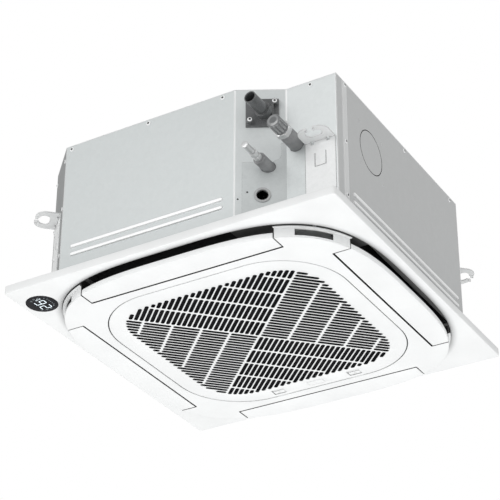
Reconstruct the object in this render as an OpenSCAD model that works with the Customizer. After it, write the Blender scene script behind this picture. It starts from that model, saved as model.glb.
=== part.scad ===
// Ceiling cassette air conditioner with a four-way air panel.
// The origin lies in the plane where the hanger plates bear on the rod nuts, on the vertical
// centre line. Plus Z points up to the slab, minus Y is the long face beside the pipes.

/* [Casing] */
// Half of the casing width
casing_half = 435; // [433:1:437]
// Casing top above the hanger plane
casing_top = 188; // [184:1:200]
// Casing lower edge below the hanger plane
casing_base = 210;
// Sheet metal thickness
sheet = 1.5; // [1.2:0.1:1.6]
// Cut at the three plain corners
corner_cut = 100; // [98:1:102]
// X where the front face ends and the pipe face starts
front_end = 181; // [179:1:183]
// X where the pipe face ends
pipe_face_end = 294; // [292:1:296]
// How far the hanger face lies behind the front face
face_setback = 62; // [61:1:63]
// Width of the folded flange under the top plate
top_flange = 24; // [20:1:26]
// Thickness of the foam lining
liner = 12; // [8:1:14]
// Gap between neighbouring sheets and mouldings
seat_gap = 0.3; // [0.2:0.1:0.4]
// Radius of the round opening in the top foam
motor_opening = 108; // [104:1:112]

/* [Pressed ribs and screws] */
// Height of the upper rib below the hanger plane
rib_upper = 126.5; // [125:0.5:128]
// Spacing of the two ribs
rib_pitch = 23.5; // [22:0.5:26]
// Rib radius
rib_r = 5; // [4:0.5:6]
// Front rib, left end
rib_front_a = -297; // [-300:1:-290]
// Front rib, right end
rib_front_b = 144; // [140:1:148]
// Half length of the ribs on the other faces
rib_side = 297; // [290:1:300]
// Screw row below the casing top
screw_row = 12; // [11:1:14]
// Sheet screw head radius
head_r = 5.2; // [4.5:0.1:5.5]
// Sheet screw head height
head_h = 2.6; // [2:0.1:3]
// Sheet screw shank radius
shank_r = 1.8; // [1.5:0.1:2]
// Sheet screw shank length behind the head
shank_l = 7; // [6:0.5:8]
// Distance of the side screw column from the hanger face
side_column = 42; // [40:1:44]
// Width of the raised strip with the side screw column
side_strip = 22; // [20:1:24]
// Height of the raised strip
side_strip_h = 1; // [0.6:0.1:1.2]
// Middle screw of the side column above the hanger plane
side_mid = 6; // [4:1:8]
// Lower screw of the side column below the hanger plane
side_low = 149; // [147:1:151]

/* [Knock-out] */
// Radius of the fresh-air knock-out
knock_r = 60; // [58:1:62]
// Y of the knock-out centre
knock_y = -190; // [-192:1:-188]
// Height of the knock-out centre
knock_z = 54; // [52:1:56]
// Width of the cut line
knock_cut = 1.6; // [1.2:0.1:2]
// Width of each bridge left in the cut line
knock_bridge = 7; // [5:1:9]
// Distance from the centre to each pilot dimple
knock_dimple = 62.5; // [62:0.5:64]
// Pilot dimple radius
dimple_r = 2.4; // [2:0.1:2.6]

/* [Hangers] */
// Width of each hanger
hanger_w = 83; // [81:1:84]
// Reach of the hanger plate from the casing
hanger_reach = 62; // [60:1:64]
// Hanger plate thickness
hanger_t = 2.5; // [2:0.1:3]
// Width of the rod pocket
pocket_w = 44; // [42:1:45]
// Depth of the rod pocket
pocket_d = 27; // [26:1:28]
// Distance from the casing to the pocket
pocket_in = 23; // [22:1:24]
// Width of the mouth between the two prongs
mouth_w = 18; // [16:1:20]
// Corner radius of the hanger plate
hanger_r = 28; // [26:1:30]
// Drop of the folded prong tips
tip_drop = 6; // [4:1:8]
// X of the hanger beside the pipes
near_hanger_x = 388.5; // [388:0.5:389]
// Size of the lanced tab in the hanger leg
tab_w = 30; // [28:1:32]
// Height of the lanced tab
tab_h = 38; // [36:1:40]
// Lanced tab centre below the hanger plane
tab_drop = 53; // [51:1:55]

/* [Pipes] */
// Drain outlet radius
drain_r = 16; // [15.5:0.1:16.5]
// Drain outlet wall
drain_wall = 2.4; // [2:0.1:2.6]
// Drain outlet distance along the pipe face
drain_s = 80; // [79:1:81]
// Drain outlet height
drain_z = 114; // [112:1:116]
// Y of the drain outlet mouth
drain_mouth = -480; // [-482:1:-478]
// Width of the square drain flange
flange_w = 83; // [81:1:84]
// Thickness of the drain flange
flange_t = 5; // [4:0.5:6]
// X of the gas pipe
gas_x = 323; // [322.5:0.5:323.5]
// Height of the gas pipe
gas_z = 11; // [10:1:12]
// Gas pipe radius
gas_r = 9.5; // [9:0.1:10]
// Radius of the gas pipe sleeve
gas_sleeve_r = 20; // [19:0.5:20.5]
// Length of the gas pipe sleeve outside the casing
gas_sleeve_l = 64; // [62:1:66]
// Flare nut width across flats on the gas pipe
gas_nut = 42; // [40:1:43]
// Flare nut thickness on the gas pipe
gas_nut_t = 15; // [14:1:16]
// Gas cap radius
gas_cap_r = 18.5; // [18:0.1:19]
// Gas cap length
gas_cap_l = 41; // [38:1:42]
// Liquid pipe distance along the pipe face
liquid_s = 83; // [82:1:84]
// Liquid pipe height
liquid_z = -45; // [-46:1:-44]
// Liquid pipe radius
liquid_r = 4.8; // [4.5:0.1:5]
// Radius of the liquid pipe sleeve
liquid_sleeve_r = 16; // [15.5:0.1:16.5]
// Length of the liquid pipe sleeve outside the casing
liquid_sleeve_l = 46; // [44:1:48]
// Liquid union width across flats
union_w = 20; // [19:0.5:21]
// Liquid union nut length
union_l = 32; // [30:1:34]
// Liquid cap radius
liquid_cap_r = 9.4; // [9:0.1:9.6]
// Liquid cap length
liquid_cap_l = 38; // [36:1:40]
// Cable hole distance along the pipe face
cable_s = 69; // [68:1:70]
// Cable hole height
cable_z = -127; // [-128:1:-126]
// Bore radius of the cable grommet
cable_r = 15; // [14.5:0.1:15.5]
// Radius of the hole the grommet sits in
cable_hole_r = 17.5; // [17.2:0.1:17.8]
// Grommet lip radius
cable_lip_r = 21; // [20:0.5:22]
// Grommet lip thickness
cable_lip_t = 2; // [1.5:0.1:2.5]

/* [Ceiling panel] */
// Width of the flat panel border
border_w = 29; // [28:1:32]
// Height of the panel rim
panel_rim = 22; // [21:1:24]
// Ceiling line below the hanger plane
ceiling_drop = 213;
// Drop of the centre part below the panel rim
disc_drop = 29.3;
// Wall thickness of the panel mouldings
wall = 3; // [2.5:0.1:3.2]
// Air gap between the centre part and the border
ring_gap = 6; // [5:0.5:8]
// Power of the round-cornered outline
outline_power = 3.5; // [3.3:0.1:3.8]
// Points on the round-cornered outline
outline_points = 180;
// Outer corner radius of the panel
panel_r = 8; // [6:1:12]
// Half length of the corner air slots
corner_slot = 48; // [44:1:52]
// Half width of the intake opening
intake_half = 336.5; // [336:0.5:337]
// Corner radius of the intake opening
intake_r = 187.5; // [185:0.5:190]

/* [Vanes] */
// Width of the centre frame between grille and vane
frame_w = 29.5; // [29:0.5:30]
// Width of each vane
vane_w = 74; // [73:1:75]
// Half length of each vane
vane_half = 275; // [273:1:276]
// Radius of the vane hinge barrel
barrel_r = 7.5; // [7:0.1:8]
// Height of the folded outer vane edge
vane_lip = 15; // [12:1:16]
// Vane stub shaft radius
stub_r = 2.5; // [2:0.1:3]
// Gap between vane and frame
vane_gap = 2.2; // [2:0.1:2.5]
// Vane motor radius
vane_motor_r = 9.8; // [9:0.1:10]
// Vane motor length
vane_motor_l = 16; // [14:1:18]

/* [Grille] */
// Gap round the intake grille
grille_gap = 3; // [2.9:0.1:3.2]
// Half width of the slotted field
field_half = 286; // [284:1:288]
// Corner radius of the slotted field
field_r = 124; // [120:1:130]
// Slot width
slot_w = 10.2; // [9:0.1:10.6]
// Slot pitch
slot_pitch = 14; // [13.8:0.1:14.4]
// Pitch of the bands of slots
band_pitch = 77; // [76:0.5:78]
// Width of the bars between bands
bar_w = 5.6; // [5:0.1:7]
// Hinge line from the outer edge of the grille
hinge_in = 4; // [3.8:0.1:4.2]
// Hinge pin radius
pin_r = 1.2; // [1:0.1:1.3]
// Distance of each hinge from the middle
hinge_x = 112; // [105:1:120]
// Latch distance from the middle
latch_x = 117; // [114:1:120]
// Latch centre from the middle of the grille
latch_y = 310; // [309:0.5:311]
// Latch width
latch_w = 34; // [32:1:36]
// Latch depth
latch_d = 15; // [14:0.5:16]
// Latch travel
latch_travel = 7; // [6.8:0.1:7.2]
// Half width of the air filter
filter_half = 284; // [280:1:284]
// Thickness of the air filter frame
filter_t = 6; // [5:0.5:7]

/* [Display] */
// Display centre from the left panel edge
display_in_x = 55; // [54:1:57]
// Display centre from the front panel edge
display_in_y = 90; // [89:1:91]
// Display radius
display_r = 42; // [40:0.5:43]
// Digit height
digit_h = 26; // [24:1:28]
// Digit width
digit_w = 13; // [12:0.5:14]
// Segment width
segment_w = 2.6; // [2:0.1:3]

/* [Fan] */
// Fan outer radius
fan_r = 232; // [225:1:236]
// Fan inlet radius
fan_inlet_r = 167; // [166:1:169]
// Number of fan blades
blade_count = 7; // [6:1:9]
// Fan blade thickness
blade_t = 4; // [3:0.5:5]
// Height of the fan hub plate
fan_top = 42; // [38:1:46]
// Fan wall thickness
fan_wall = 3; // [2.5:0.1:3.5]
// Motor radius
motor_r = 72; // [68:1:76]
// Motor height
motor_h = 86; // [80:1:90]
// Motor shaft radius
shaft_r = 6; // [5.5:0.1:6.5]
// Radius of the motor mount circle
mount_ring_r = 90; // [88:1:92]

/* [Coil and drain] */
// Outer half width of the coil
coil_half = 330; // [328:1:332]
// Coil depth
coil_depth = 40; // [38:1:42]
// Outer corner radius of the coil
coil_r = 100; // [95:1:105]
// Face where both coil ends stand
coil_end = 215; // [213:1:217]
// Number of tube rows in height
tube_rows = 12;
// Tube pitch
tube_pitch = 25.4;
// Tube radius
tube_r = 4.75;
// Pitch of the drawn fins
fin_pitch = 12; // [10:1:16]
// Depth of the gaps between drawn fins
fin_depth = 9; // [7:1:10]
// Drain pan thickness
pan_h = 68; // [66:1:70]
// Depth of the water channel
channel_d = 40; // [38:1:42]
// Duct inner edge
duct_in = 368; // [367:1:369]
// Duct outer edge
duct_out = 421; // [420:1:422]
// Half length of the full ducts
duct_half = 262; // [258:1:264]
// Pump radius
pump_r = 32; // [30:1:33]
// Pump X
pump_x = 377; // [376:1:378]
// Pump Y
pump_y = -298; // [-300:1:-296]

/* [Hidden] */
$fn = 48;
none = 0;
quarter = 90;
turn = 360;
half_turn = 180;
eighth = 45;
tiny = 0.01;
fit_gap = 0.05;
over = 2;
fine = 1;
thin = 0.8;
round_off = 4;

panel_z = -ceiling_drop - panel_rim;
disc_z = panel_z - disc_drop;
plate_top_z = disc_z + wall;
pan_bottom = -casing_base + fine;
pan_top = pan_bottom + pan_h;
bell_z = pan_bottom - wall;
lining_top = casing_top - sheet - seat_gap;
coil_bottom = pan_top - channel_d + 5 * over;
coil_top = lining_top - liner - seat_gap;
face_y = -casing_half + face_setback;
vane_in = intake_half + frame_w;
disc_size = vane_in + vane_w;
ring_open = disc_size + ring_gap;
panel_half = ring_open + border_w;
display_x = display_in_x - panel_half;
display_y = display_in_y - panel_half;

corner_in = casing_half - corner_cut;
plan = [
  [-corner_in, -casing_half],
  [front_end, -casing_half],
  [pipe_face_end, face_y],
  [casing_half, face_y],
  [casing_half, corner_in],
  [corner_in, casing_half],
  [-corner_in, casing_half],
  [-casing_half, corner_in],
  [-casing_half, -corner_in]
];
pipe_run = plan[2] - plan[1];
pipe_dir = pipe_run / norm(pipe_run);
pipe_angle = atan2(pipe_dir[1], pipe_dir[0]);

function unit(v) = v / norm(v);
function right_of(a, b) = let (d = unit(b - a)) [d[1], -d[0]];
function bisect(n1, n2) = (n1 + n2) / (1 + n1 * n2);
function inset(p, d) = [
  for (i = [0 : len(p) - 1])
    let (a = p[(i + len(p) - 1) % len(p)], b = p[i], c = p[(i + 1) % len(p)])
    b - d * bisect(right_of(a, b), right_of(b, c))
];
function round_outline(size) = [
  for (i = [0 : outline_points - 1])
    let (t = turn * i / outline_points,
      c = pow(abs(cos(t)), outline_power),
      s = pow(abs(sin(t)), outline_power),
      r = size / pow(c + s, 1 / outline_power))
    [r * cos(t), r * sin(t)]
];
function pipe_point(s) = plan[1] + s * pipe_dir;

module round_square(h, r) {
  square([2 * h, 2 * (h - r)], center = true);
  square([2 * (h - r), 2 * h], center = true);
  for (x = [-1, 1], y = [-1, 1])
    translate([x * (h - r), y * (h - r)]) circle(r = r);
}

module slab(z0, z1) {
  translate([0, 0, z0]) linear_extrude(height = z1 - z0) children();
}

module box(a, b) {
  translate(a) cube(b - a);
}

// Round bar along Y between two Y values.
module bar_y(x, z, r, y0, y1) {
  translate([x, y1, z]) rotate([quarter, 0, 0]) cylinder(r = r, h = y1 - y0);
}

module bar_x(y, z, r, x0, x1) {
  translate([x0, y, z]) rotate([0, quarter, 0]) cylinder(r = r, h = x1 - x0);
}

// Frame on the pipe face: X along the face, minus Y outward.
module on_pipe_face(s, z) {
  p = pipe_point(s);
  translate([p[0], p[1], z]) rotate([0, 0, pipe_angle]) children();
}

// One wall of the casing between two corners of the plan, with mitred ends.
module casing_wall(i) {
  j = (i + 1) % len(plan);
  inner = inset(plan, sheet);
  slab(-casing_base, casing_top - sheet)
    polygon([plan[i], plan[j], inner[j], inner[i]]);
}

// Pressed rib standing out of a wall, from a to b along X.
module rib(a, b, z) {
  intersection() {
    union() {
      bar_x(0, z, rib_r, a, b);
      translate([a, 0, z]) sphere(r = rib_r);
      translate([b, 0, z]) sphere(r = rib_r);
    }
    box([a - rib_r, -rib_r / 2 - fine, z - rib_r], [b + rib_r, fine, z + rib_r]);
  }
}

module rib_pair(a, b) {
  rib(a, b, -rib_upper);
  rib(a, b, -rib_upper - rib_pitch);
}

module sheet_screw() {
  rotate([quarter, 0, 0]) difference() {
    cylinder(r = head_r, h = head_h);
    translate([0, 0, head_h - fine]) cylinder(r = head_r / 2, h = over);
  }
  translate([0, -fine, 0]) rotate([-quarter, 0, 0]) cylinder(r = shank_r, h = shank_l + fine);
}

module screw_hole() {
  translate([0, -over, 0]) rotate([-quarter, 0, 0])
    cylinder(r = shank_r + fit_gap, h = shank_l + 2 * over);
}

face_screw_z = casing_top - screw_row;
front_screws = [-317, -77, 146];
side_screws = [9, 290];
plain_screws = [-310, -100, 100, 310];
side_column_y = face_y + side_column;
side_column_z = [face_screw_z, side_mid, -side_low];
near_screw_x = 363.5;

// Places for every sheet screw, children drawn with minus Y outward.
module at_front_screws() {
  for (x = front_screws) translate([x, -casing_half, face_screw_z]) children();
}
module at_near_screw() {
  translate([near_screw_x, face_y, face_screw_z]) children();
}
module at_side_screws() {
  for (y = side_screws) translate([casing_half, y, face_screw_z])
    rotate([0, 0, quarter]) children();
}
module at_side_column() {
  for (z = side_column_z) translate([casing_half, side_column_y, z])
    rotate([0, 0, quarter]) children();
}
module at_back_screws() {
  for (x = plain_screws) translate([x, casing_half, face_screw_z])
    rotate([0, 0, half_turn]) children();
}
module at_left_screws() {
  for (y = plain_screws) translate([-casing_half, y, face_screw_z])
    rotate([0, 0, -quarter]) children();
}

// Frame at a plain corner: X along the chamfer, minus Y outward.
corner_out = (casing_half - corner_cut / 2) * sqrt(2);
module at_corner(a) {
  rotate([0, 0, a]) translate([0, -corner_out, 0]) children();
}
plain_corners = [-eighth, quarter + eighth, half_turn + eighth];
corner_screw_z = [150, 3, -138];
corner_screw_x = 60;
module at_corner_screws() {
  for (a = plain_corners) at_corner(a)
    for (x = [-1, 1], z = corner_screw_z)
      translate([x * corner_screw_x, 0, z]) children();
}

module top_plate() {
  color([0.8, 0.82, 0.82]) {
    slab(casing_top - sheet, casing_top) difference() {
      polygon(plan);
      for (a = [0 : quarter : turn - 1]) rotate(a + eighth)
        translate([mount_ring_r, 0]) circle(r = stud_r + fit_gap);
    }
    difference() {
      slab(casing_top - top_flange, casing_top - sheet) difference() {
        polygon(inset(plan, sheet));
        polygon(inset(plan, 2 * sheet));
      }
      at_front_screws() screw_hole();
      at_near_screw() screw_hole();
      at_side_screws() screw_hole();
      at_side_column() screw_hole();
      at_back_screws() screw_hole();
      at_left_screws() screw_hole();
      at_corner_screws() screw_hole();
    }
    for (r = [top_ring_a, top_ring_b])
      translate([0, 0, casing_top]) rotate_extrude()
        translate([r, 0]) intersection() {
          circle(r = rib_r);
          translate([-rib_r, -tiny]) square([2 * rib_r, rib_r / 2]);
        }
  }
}
top_ring_a = 130;
top_ring_b = 250;

module front_panel() {
  color([0.83, 0.85, 0.85]) {
    difference() {
      casing_wall(0);
      at_front_screws() screw_hole();
    }
    translate([0, -casing_half, 0]) rib_pair(rib_front_a, rib_front_b);
  }
}

module right_panel() {
  color([0.74, 0.76, 0.76]) {
    difference() {
      union() {
        casing_wall(3);
        box([casing_half - tiny, side_column_y - side_strip / 2, -casing_base],
          [casing_half + side_strip_h, side_column_y + side_strip / 2,
          casing_top - sheet]);
      }
      at_side_screws() screw_hole();
      at_side_column() screw_hole();
      translate([casing_half - over, knock_y, knock_z]) rotate([0, quarter, 0]) difference() {
        cylinder(r = knock_r + knock_cut / 2, h = 2 * over);
        translate([0, 0, -over]) cylinder(r = knock_r - knock_cut / 2, h = 4 * over);
        for (a = [0 : half_turn / 4 : half_turn - 1]) rotate(a)
          translate([-knock_r - over, -knock_bridge / 2, -over])
            cube([2 * (knock_r + over), knock_bridge, 4 * over]);
      }
      for (y = [-1, 1], z = [-1, 1])
        translate([casing_half - thin, knock_y + y * knock_dimple,
             knock_z + z * knock_dimple])
          rotate([0, quarter, 0]) cylinder(r = dimple_r, h = over);
    }
    translate([casing_half, 0, 0]) rotate([0, 0, quarter])
      rib_pair(-rib_side + round_off, rib_side + round_off);
  }
}

module back_panel() {
  color([0.78, 0.8, 0.8]) {
    difference() {
      casing_wall(5);
      at_back_screws() screw_hole();
    }
    translate([0, casing_half, 0]) rotate([0, 0, half_turn])
      rib_pair(-rib_side, rib_side);
  }
}

module left_panel() {
  color([0.78, 0.8, 0.8]) {
    difference() {
      casing_wall(7);
      at_left_screws() screw_hole();
    }
    translate([-casing_half, 0, 0]) rotate([0, 0, -quarter])
      rib_pair(-rib_side, rib_side);
  }
}

module corner_plates() {
  color([0.62, 0.63, 0.63]) difference() {
    union() {
      casing_wall(4);
      casing_wall(6);
      casing_wall(8);
    }
    at_corner_screws() screw_hole();
    for (a = plain_corners) at_corner(a) hanger_bolts(hanger_bolt_z) screw_hole();
  }
}

// Screws that hold a hanger leg, two columns.
hanger_bolt_x = 30;
hanger_bolt_z = [-22, -100, -180];
near_bolt_z = [hanger_bolt_z[2]];
module hanger_bolts(rows) {
  for (x = [-1, 1], z = rows) translate([x * hanger_bolt_x, 0, z]) children();
}

module near_hanger() {
  translate([near_hanger_x, face_y, 0]) children();
}

module pipe_holes() {
  drain = pipe_point(drain_s);
  liquid = pipe_point(liquid_s);
  bar_y(drain[0], drain_z, collar_r + fine, drain[1] - 5 * liner, drain[1] + 5 * liner);
  bar_y(liquid[0], liquid_z, liquid_sleeve_r + fine, liquid[1] - 5 * liner, liquid[1] + 5 * liner);
  bar_y(gas_x, gas_z, gas_sleeve_r + thin, face_y - over, face_y + liner + 5 * over);
  on_pipe_face(cable_s, cable_z) rotate([-quarter, 0, 0])
    translate([0, 0, -2 * over]) cylinder(r = cable_hole_r, h = liner + 6 * over);
}
collar_r = 21;
// Room behind the pipe face for the inner lip of the grommet.
module cable_room() {
  on_pipe_face(cable_s, cable_z) translate([0, sheet, 0]) rotate([-quarter, 0, 0])
    cylinder(r = cable_lip_r + fine, h = 2 * liner);
}

module pipe_corner_panel() {
  color([0.82, 0.84, 0.84]) difference() {
    union() {
      casing_wall(1);
      casing_wall(2);
    }
    pipe_holes();
    at_near_screw() screw_hole();
    near_hanger() hanger_bolts(near_bolt_z) screw_hole();
    drain_flange_screws() screw_hole();
    for (p = small_holes) on_pipe_face(p[0], p[1]) small_hole();
  }
}

small_holes = [[32, -118], [9, -137]];
module small_hole() {
  rotate([quarter, 0, 0]) cylinder(r = dimple_r, h = 2 * over, center = true);
}

// Cover sheet that folds round the corner between the pipe face and the hanger face.
cover_s = 19;
cover_end_x = near_hanger_x - hanger_w / 2 - fine;
cover_t = 1.2;
cover_low = -casing_base + over;
cover_mid = -31;
cover_step = -10;
cover_high = 24;
cover_step_s = 99;
cover_side_s = 115;
cover_room = 8 * liner;
module pipe_cover_plate() {
  a = pipe_point(cover_s);
  b = plan[2];
  c = [cover_end_x, face_y];
  n1 = right_of(a, b);
  n2 = right_of(b, c);
  color([0.8, 0.82, 0.82]) difference() {
    slab(cover_low, cover_high)
      polygon([a, b, c, c + cover_t * n2, b + cover_t * bisect(n1, n2), a + cover_t * n1]);
    on_pipe_face(0, 0) translate([-over, -2 * over, 0]) {
      translate([0, 0, cover_mid]) cube([cover_step_s + over, 4 * over, cover_room]);
      translate([0, 0, cover_step]) cube([cover_side_s + over, 4 * over, cover_room]);
      translate([cover_step_s + over, 0, cover_step]) rotate([-quarter, 0, 0])
        cylinder(r = cover_side_s - cover_step_s, h = 4 * over);
    }
    pipe_holes();
    on_pipe_face(small_holes[0][0], small_holes[0][1]) small_hole();
  }
}

module cable_grommet() {
  color([0.12, 0.12, 0.13]) on_pipe_face(cable_s, cable_z) rotate([quarter, 0, 0])
    rotate_extrude() polygon([
      [cable_r, -sheet - cable_lip_t],
      [cable_lip_r, -sheet - cable_lip_t],
      [cable_lip_r, -sheet],
      [cable_hole_r - fit_gap, -sheet],
      [cable_hole_r - fit_gap, cover_t],
      [cable_lip_r, cover_t],
      [cable_lip_r, cover_t + cable_lip_t],
      [cable_r, cover_t + cable_lip_t]
    ]);
}

module casing_screws() {
  color([0.86, 0.87, 0.88]) {
    at_front_screws() sheet_screw();
    at_near_screw() sheet_screw();
    at_side_screws() sheet_screw();
    translate([side_strip_h, 0, 0]) at_side_column() sheet_screw();
    at_back_screws() sheet_screw();
    at_left_screws() sheet_screw();
    at_corner_screws() sheet_screw();
    for (a = plain_corners) at_corner(a) translate([0, -hanger_t, 0])
      hanger_bolts(hanger_bolt_z) sheet_screw();
    near_hanger() translate([0, -hanger_t, 0]) hanger_bolts(near_bolt_z) sheet_screw();
    drain_flange_screws() translate([0, -flange_boss_h, 0]) {
      sheet_screw();
      translate([0, -fine, 0]) rotate([-quarter, 0, 0]) cylinder(r = shank_r, h = flange_boss_h + shank_l);
    }
  }
}

// Hanger: folded plate with an open pocket between two prongs and a leg on the casing.
module hanger_plan() {
  difference() {
    union() {
      translate([-hanger_w / 2, -hanger_reach + hanger_r])
        square([hanger_w, hanger_reach - hanger_r]);
      translate([-hanger_w / 2 + hanger_r, -hanger_reach])
        square([hanger_w - 2 * hanger_r, hanger_r + fine]);
      for (x = [-1, 1]) translate([x * (hanger_w / 2 - hanger_r), -hanger_reach + hanger_r])
        circle(r = hanger_r);
    }
    translate([-mouth_w / 2, -hanger_reach - fine]) square([mouth_w, hanger_reach - pocket_in]);
    translate([0, -pocket_in - pocket_d / 2]) {
      square([pocket_w - pocket_d, pocket_d], center = true);
      for (x = [-1, 1]) translate([x * (pocket_w - pocket_d) / 2, 0])
        circle(r = pocket_d / 2);
    }
    for (x = [-1, 1]) translate([x * notch_x - notch_w / 2, -notch_w]) square([notch_w, 2 * notch_w]);
  }
}
notch_x = 22;
notch_w = 7;

module hanger(rows) {
  slab(0, hanger_t) hanger_plan();
  for (x = [-1, 1]) translate([x * (mouth_w / 2 + hanger_t / 2), 0, 0])
    box([-hanger_t / 2, -hanger_reach, -tip_drop],
      [hanger_t / 2, -hanger_reach + 3 * hanger_t, fine]);
  difference() {
    box([-hanger_w / 2, -hanger_t, -casing_base + over], [hanger_w / 2, 0, fine]);
    hanger_bolts(rows) translate([0, -hanger_t, 0]) screw_hole();
    for (x = [-1, 1]) translate([x * notch_x - notch_w / 2, -hanger_t - fine, -notch_w])
      cube([notch_w, hanger_t + over, 2 * notch_w]);
    translate([0, -hanger_t - fine, -tab_drop]) {
      for (x = [-1, 1]) translate([x * tab_w / 2 - knock_cut / 2, 0, -tab_h / 2])
        cube([knock_cut, hanger_t + over, tab_h]);
      translate([-tab_w / 2, 0, -tab_h / 2 - knock_cut / 2])
        cube([tab_w, hanger_t + over, knock_cut]);
    }
  }
}

module hanger_brackets() {
  color([0.85, 0.86, 0.86]) {
    for (a = plain_corners) at_corner(a) hanger(hanger_bolt_z);
    near_hanger() hanger(near_bolt_z);
  }
}

// Foam lining: one board on each wall with mitred ends, and one board under the top plate.
module foam_liner() {
  board = inset(plan, 2 * sheet + seat_gap);
  inner = inset(board, liner);
  color([0.2, 0.2, 0.21]) difference() {
    union() {
      slab(pan_top + seat_gap, lining_top - liner - seat_gap) for (i = [0 : len(plan) - 1]) {
        j = (i + 1) % len(plan);
        d = seat_gap * unit(board[j] - board[i]);
        polygon([board[i] + d, board[j] - d, inner[j] - d, inner[i] + d]);
      }
      slab(lining_top - liner, lining_top) difference() {
        polygon(board);
        circle(r = motor_opening);
      }
    }
    pipe_holes();
    cable_room();
    all_casing_shanks();
  }
}

// Room for every shank that reaches the lining.
module all_casing_shanks() {
  at_front_screws() shank_room();
  at_near_screw() shank_room();
  at_side_screws() shank_room();
  at_side_column() shank_room();
  at_back_screws() shank_room();
  at_left_screws() shank_room();
  at_corner_screws() shank_room();
  for (a = plain_corners) at_corner(a) hanger_bolts(hanger_bolt_z) shank_room();
  near_hanger() hanger_bolts(near_bolt_z) shank_room();
  drain_flange_screws() shank_room();
}
module shank_room() {
  rotate([-quarter, 0, 0]) cylinder(r = 2 * shank_r, h = liner);
}

// Coil band in plan, open at the pipe corner.
module coil_band(grow) {
  difference() {
    round_square(coil_half + grow, coil_r + grow);
    round_square(coil_half - coil_depth - grow, coil_r - coil_depth - grow);
    translate([coil_end, -casing_half]) square([casing_half, casing_half - coil_end]);
  }
}

module coil_fins() {
  run = coil_half - coil_r;
  count = floor(2 * run / fin_pitch);
  fin_gap = fin_pitch / 2;
  color([0.78, 0.8, 0.82]) {
    slab(coil_bottom, coil_top) difference() {
      coil_band(0);
      for (a = [0 : quarter : turn - 1]) rotate(a)
        for (i = [0 : count - 1]) translate([-run + (i + 1 / 2) * fin_pitch, 0]) {
          translate([-fin_gap / 2, coil_half - fin_depth]) square([fin_gap, fin_depth + fine]);
          translate([-fin_gap / 2, coil_half - coil_depth - fine])
            square([fin_gap, fin_depth + fine]);
        }
    }
  }
}

// Both coil ends: the right run ends facing minus Y, the front run ends facing plus X.
coil_mid = coil_half - coil_depth / 2;
tube_row_gap = 22;
row_in = coil_mid - tube_row_gap / 2;
row_out = coil_mid + tube_row_gap / 2;
plate_edge = 4;
plate_t = 2;
end_face = coil_end + plate_t;
tube_low = coil_bottom + tube_pitch / 2;
module coil_end_plates() {
  lo = coil_half - coil_depth - plate_edge;
  hi = coil_half + plate_edge;
  color([0.7, 0.72, 0.73]) {
    box([lo, -end_face, coil_bottom], [hi, -coil_end, coil_top]);
    box([coil_end, -hi, coil_bottom], [end_face, -lo, coil_top]);
    slab(pan_top, coil_top) polygon([
      [end_face, -lo], [end_face - plate_t, -lo],
      [lo, -end_face + plate_t], [lo, -end_face]
    ]);
  }
}

// Half loop of tube with its ends along Z, bulging towards minus Y.
module return_bend() {
  rotate([0, 0, half_turn]) rotate([0, quarter, 0]) rotate_extrude(angle = half_turn)
    translate([tube_pitch / 2, 0]) circle(r = tube_r);
}

outer_bends = [0, 3, 4];
module coil_bends() {
  color([0.78, 0.48, 0.3]) {
    for (k = [0 : tube_rows / 2 - 1]) {
      z = tube_low + (2 * k + 1 / 2) * tube_pitch;
      translate([row_in, -end_face, z]) return_bend();
      translate([end_face, -row_in, z]) rotate([0, 0, quarter]) return_bend();
    }
    for (k = outer_bends) {
      z = tube_low + (2 * k + 3 / 2) * tube_pitch;
      translate([end_face, -row_out, z]) rotate([0, 0, quarter]) return_bend();
    }
  }
}

// Gas header: upright tube with stubs into the end plate, and the gas pipe out of the casing.
header_r = 9;
header_y = -258;
header_low = -100;
header_high = 88;
stub_pitch = 50.8;
stub_count = 4;
header_stub_r = 4;
first_stub = 15;
gas_end = face_y - gas_sleeve_l - gas_nut_t;
module gas_pipe() {
  color([0.8, 0.5, 0.32]) difference() {
    union() {
      translate([gas_x, header_y, header_low])
        cylinder(r = header_r, h = header_high - header_low);
      translate([gas_x, header_y, header_low]) sphere(r = header_r);
      translate([gas_x, header_y, header_high]) sphere(r = header_r);
      for (k = [0 : stub_count - 1])
        bar_y(gas_x, header_low + first_stub + k * stub_pitch, header_stub_r, header_y, -end_face);
      bar_y(gas_x, gas_z, gas_r, gas_end, header_y);
    }
    bar_y(gas_x, gas_z, gas_r - fine, gas_end - fine, header_y - 2 * header_r);
  }
}

module hex_along_y(x, z, flats, y0, y1) {
  translate([x, y1, z]) rotate([quarter, 0, 0])
    cylinder(r = flats / 2 / cos(half_turn / 6), h = y1 - y0, $fn = 6);
}

module gas_nut_ring() {
  y1 = face_y - gas_sleeve_l;
  color([0.8, 0.8, 0.78]) difference() {
    hex_along_y(gas_x, gas_z, gas_nut, gas_end, y1);
    bar_y(gas_x, gas_z, gas_r + fit_gap, gas_end - fine, y1 + fine);
  }
}

// Cap with shallow flutes that closes the gas pipe.
module gas_cap() {
  flutes = 12;
  flute_r = 2.2;
  color([0.3, 0.31, 0.31]) difference() {
    bar_y(gas_x, gas_z, gas_cap_r, gas_end - gas_cap_l, gas_end);
    for (k = [0 : flutes - 1]) translate([gas_x, 0, gas_z]) rotate([0, k * turn / flutes, 0])
      bar_y(gas_cap_r + flute_r / 2, 0, flute_r, gas_end - gas_cap_l + round_off, gas_end + fine);
  }
}

module gas_sleeve() {
  color([0.27, 0.28, 0.29]) difference() {
    bar_y(gas_x, gas_z, gas_sleeve_r, face_y - gas_sleeve_l, face_y + 3 * sheet);
    bar_y(gas_x, gas_z, gas_r + fit_gap, face_y - gas_sleeve_l - fine, face_y + 4 * sheet);
  }
}

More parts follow.
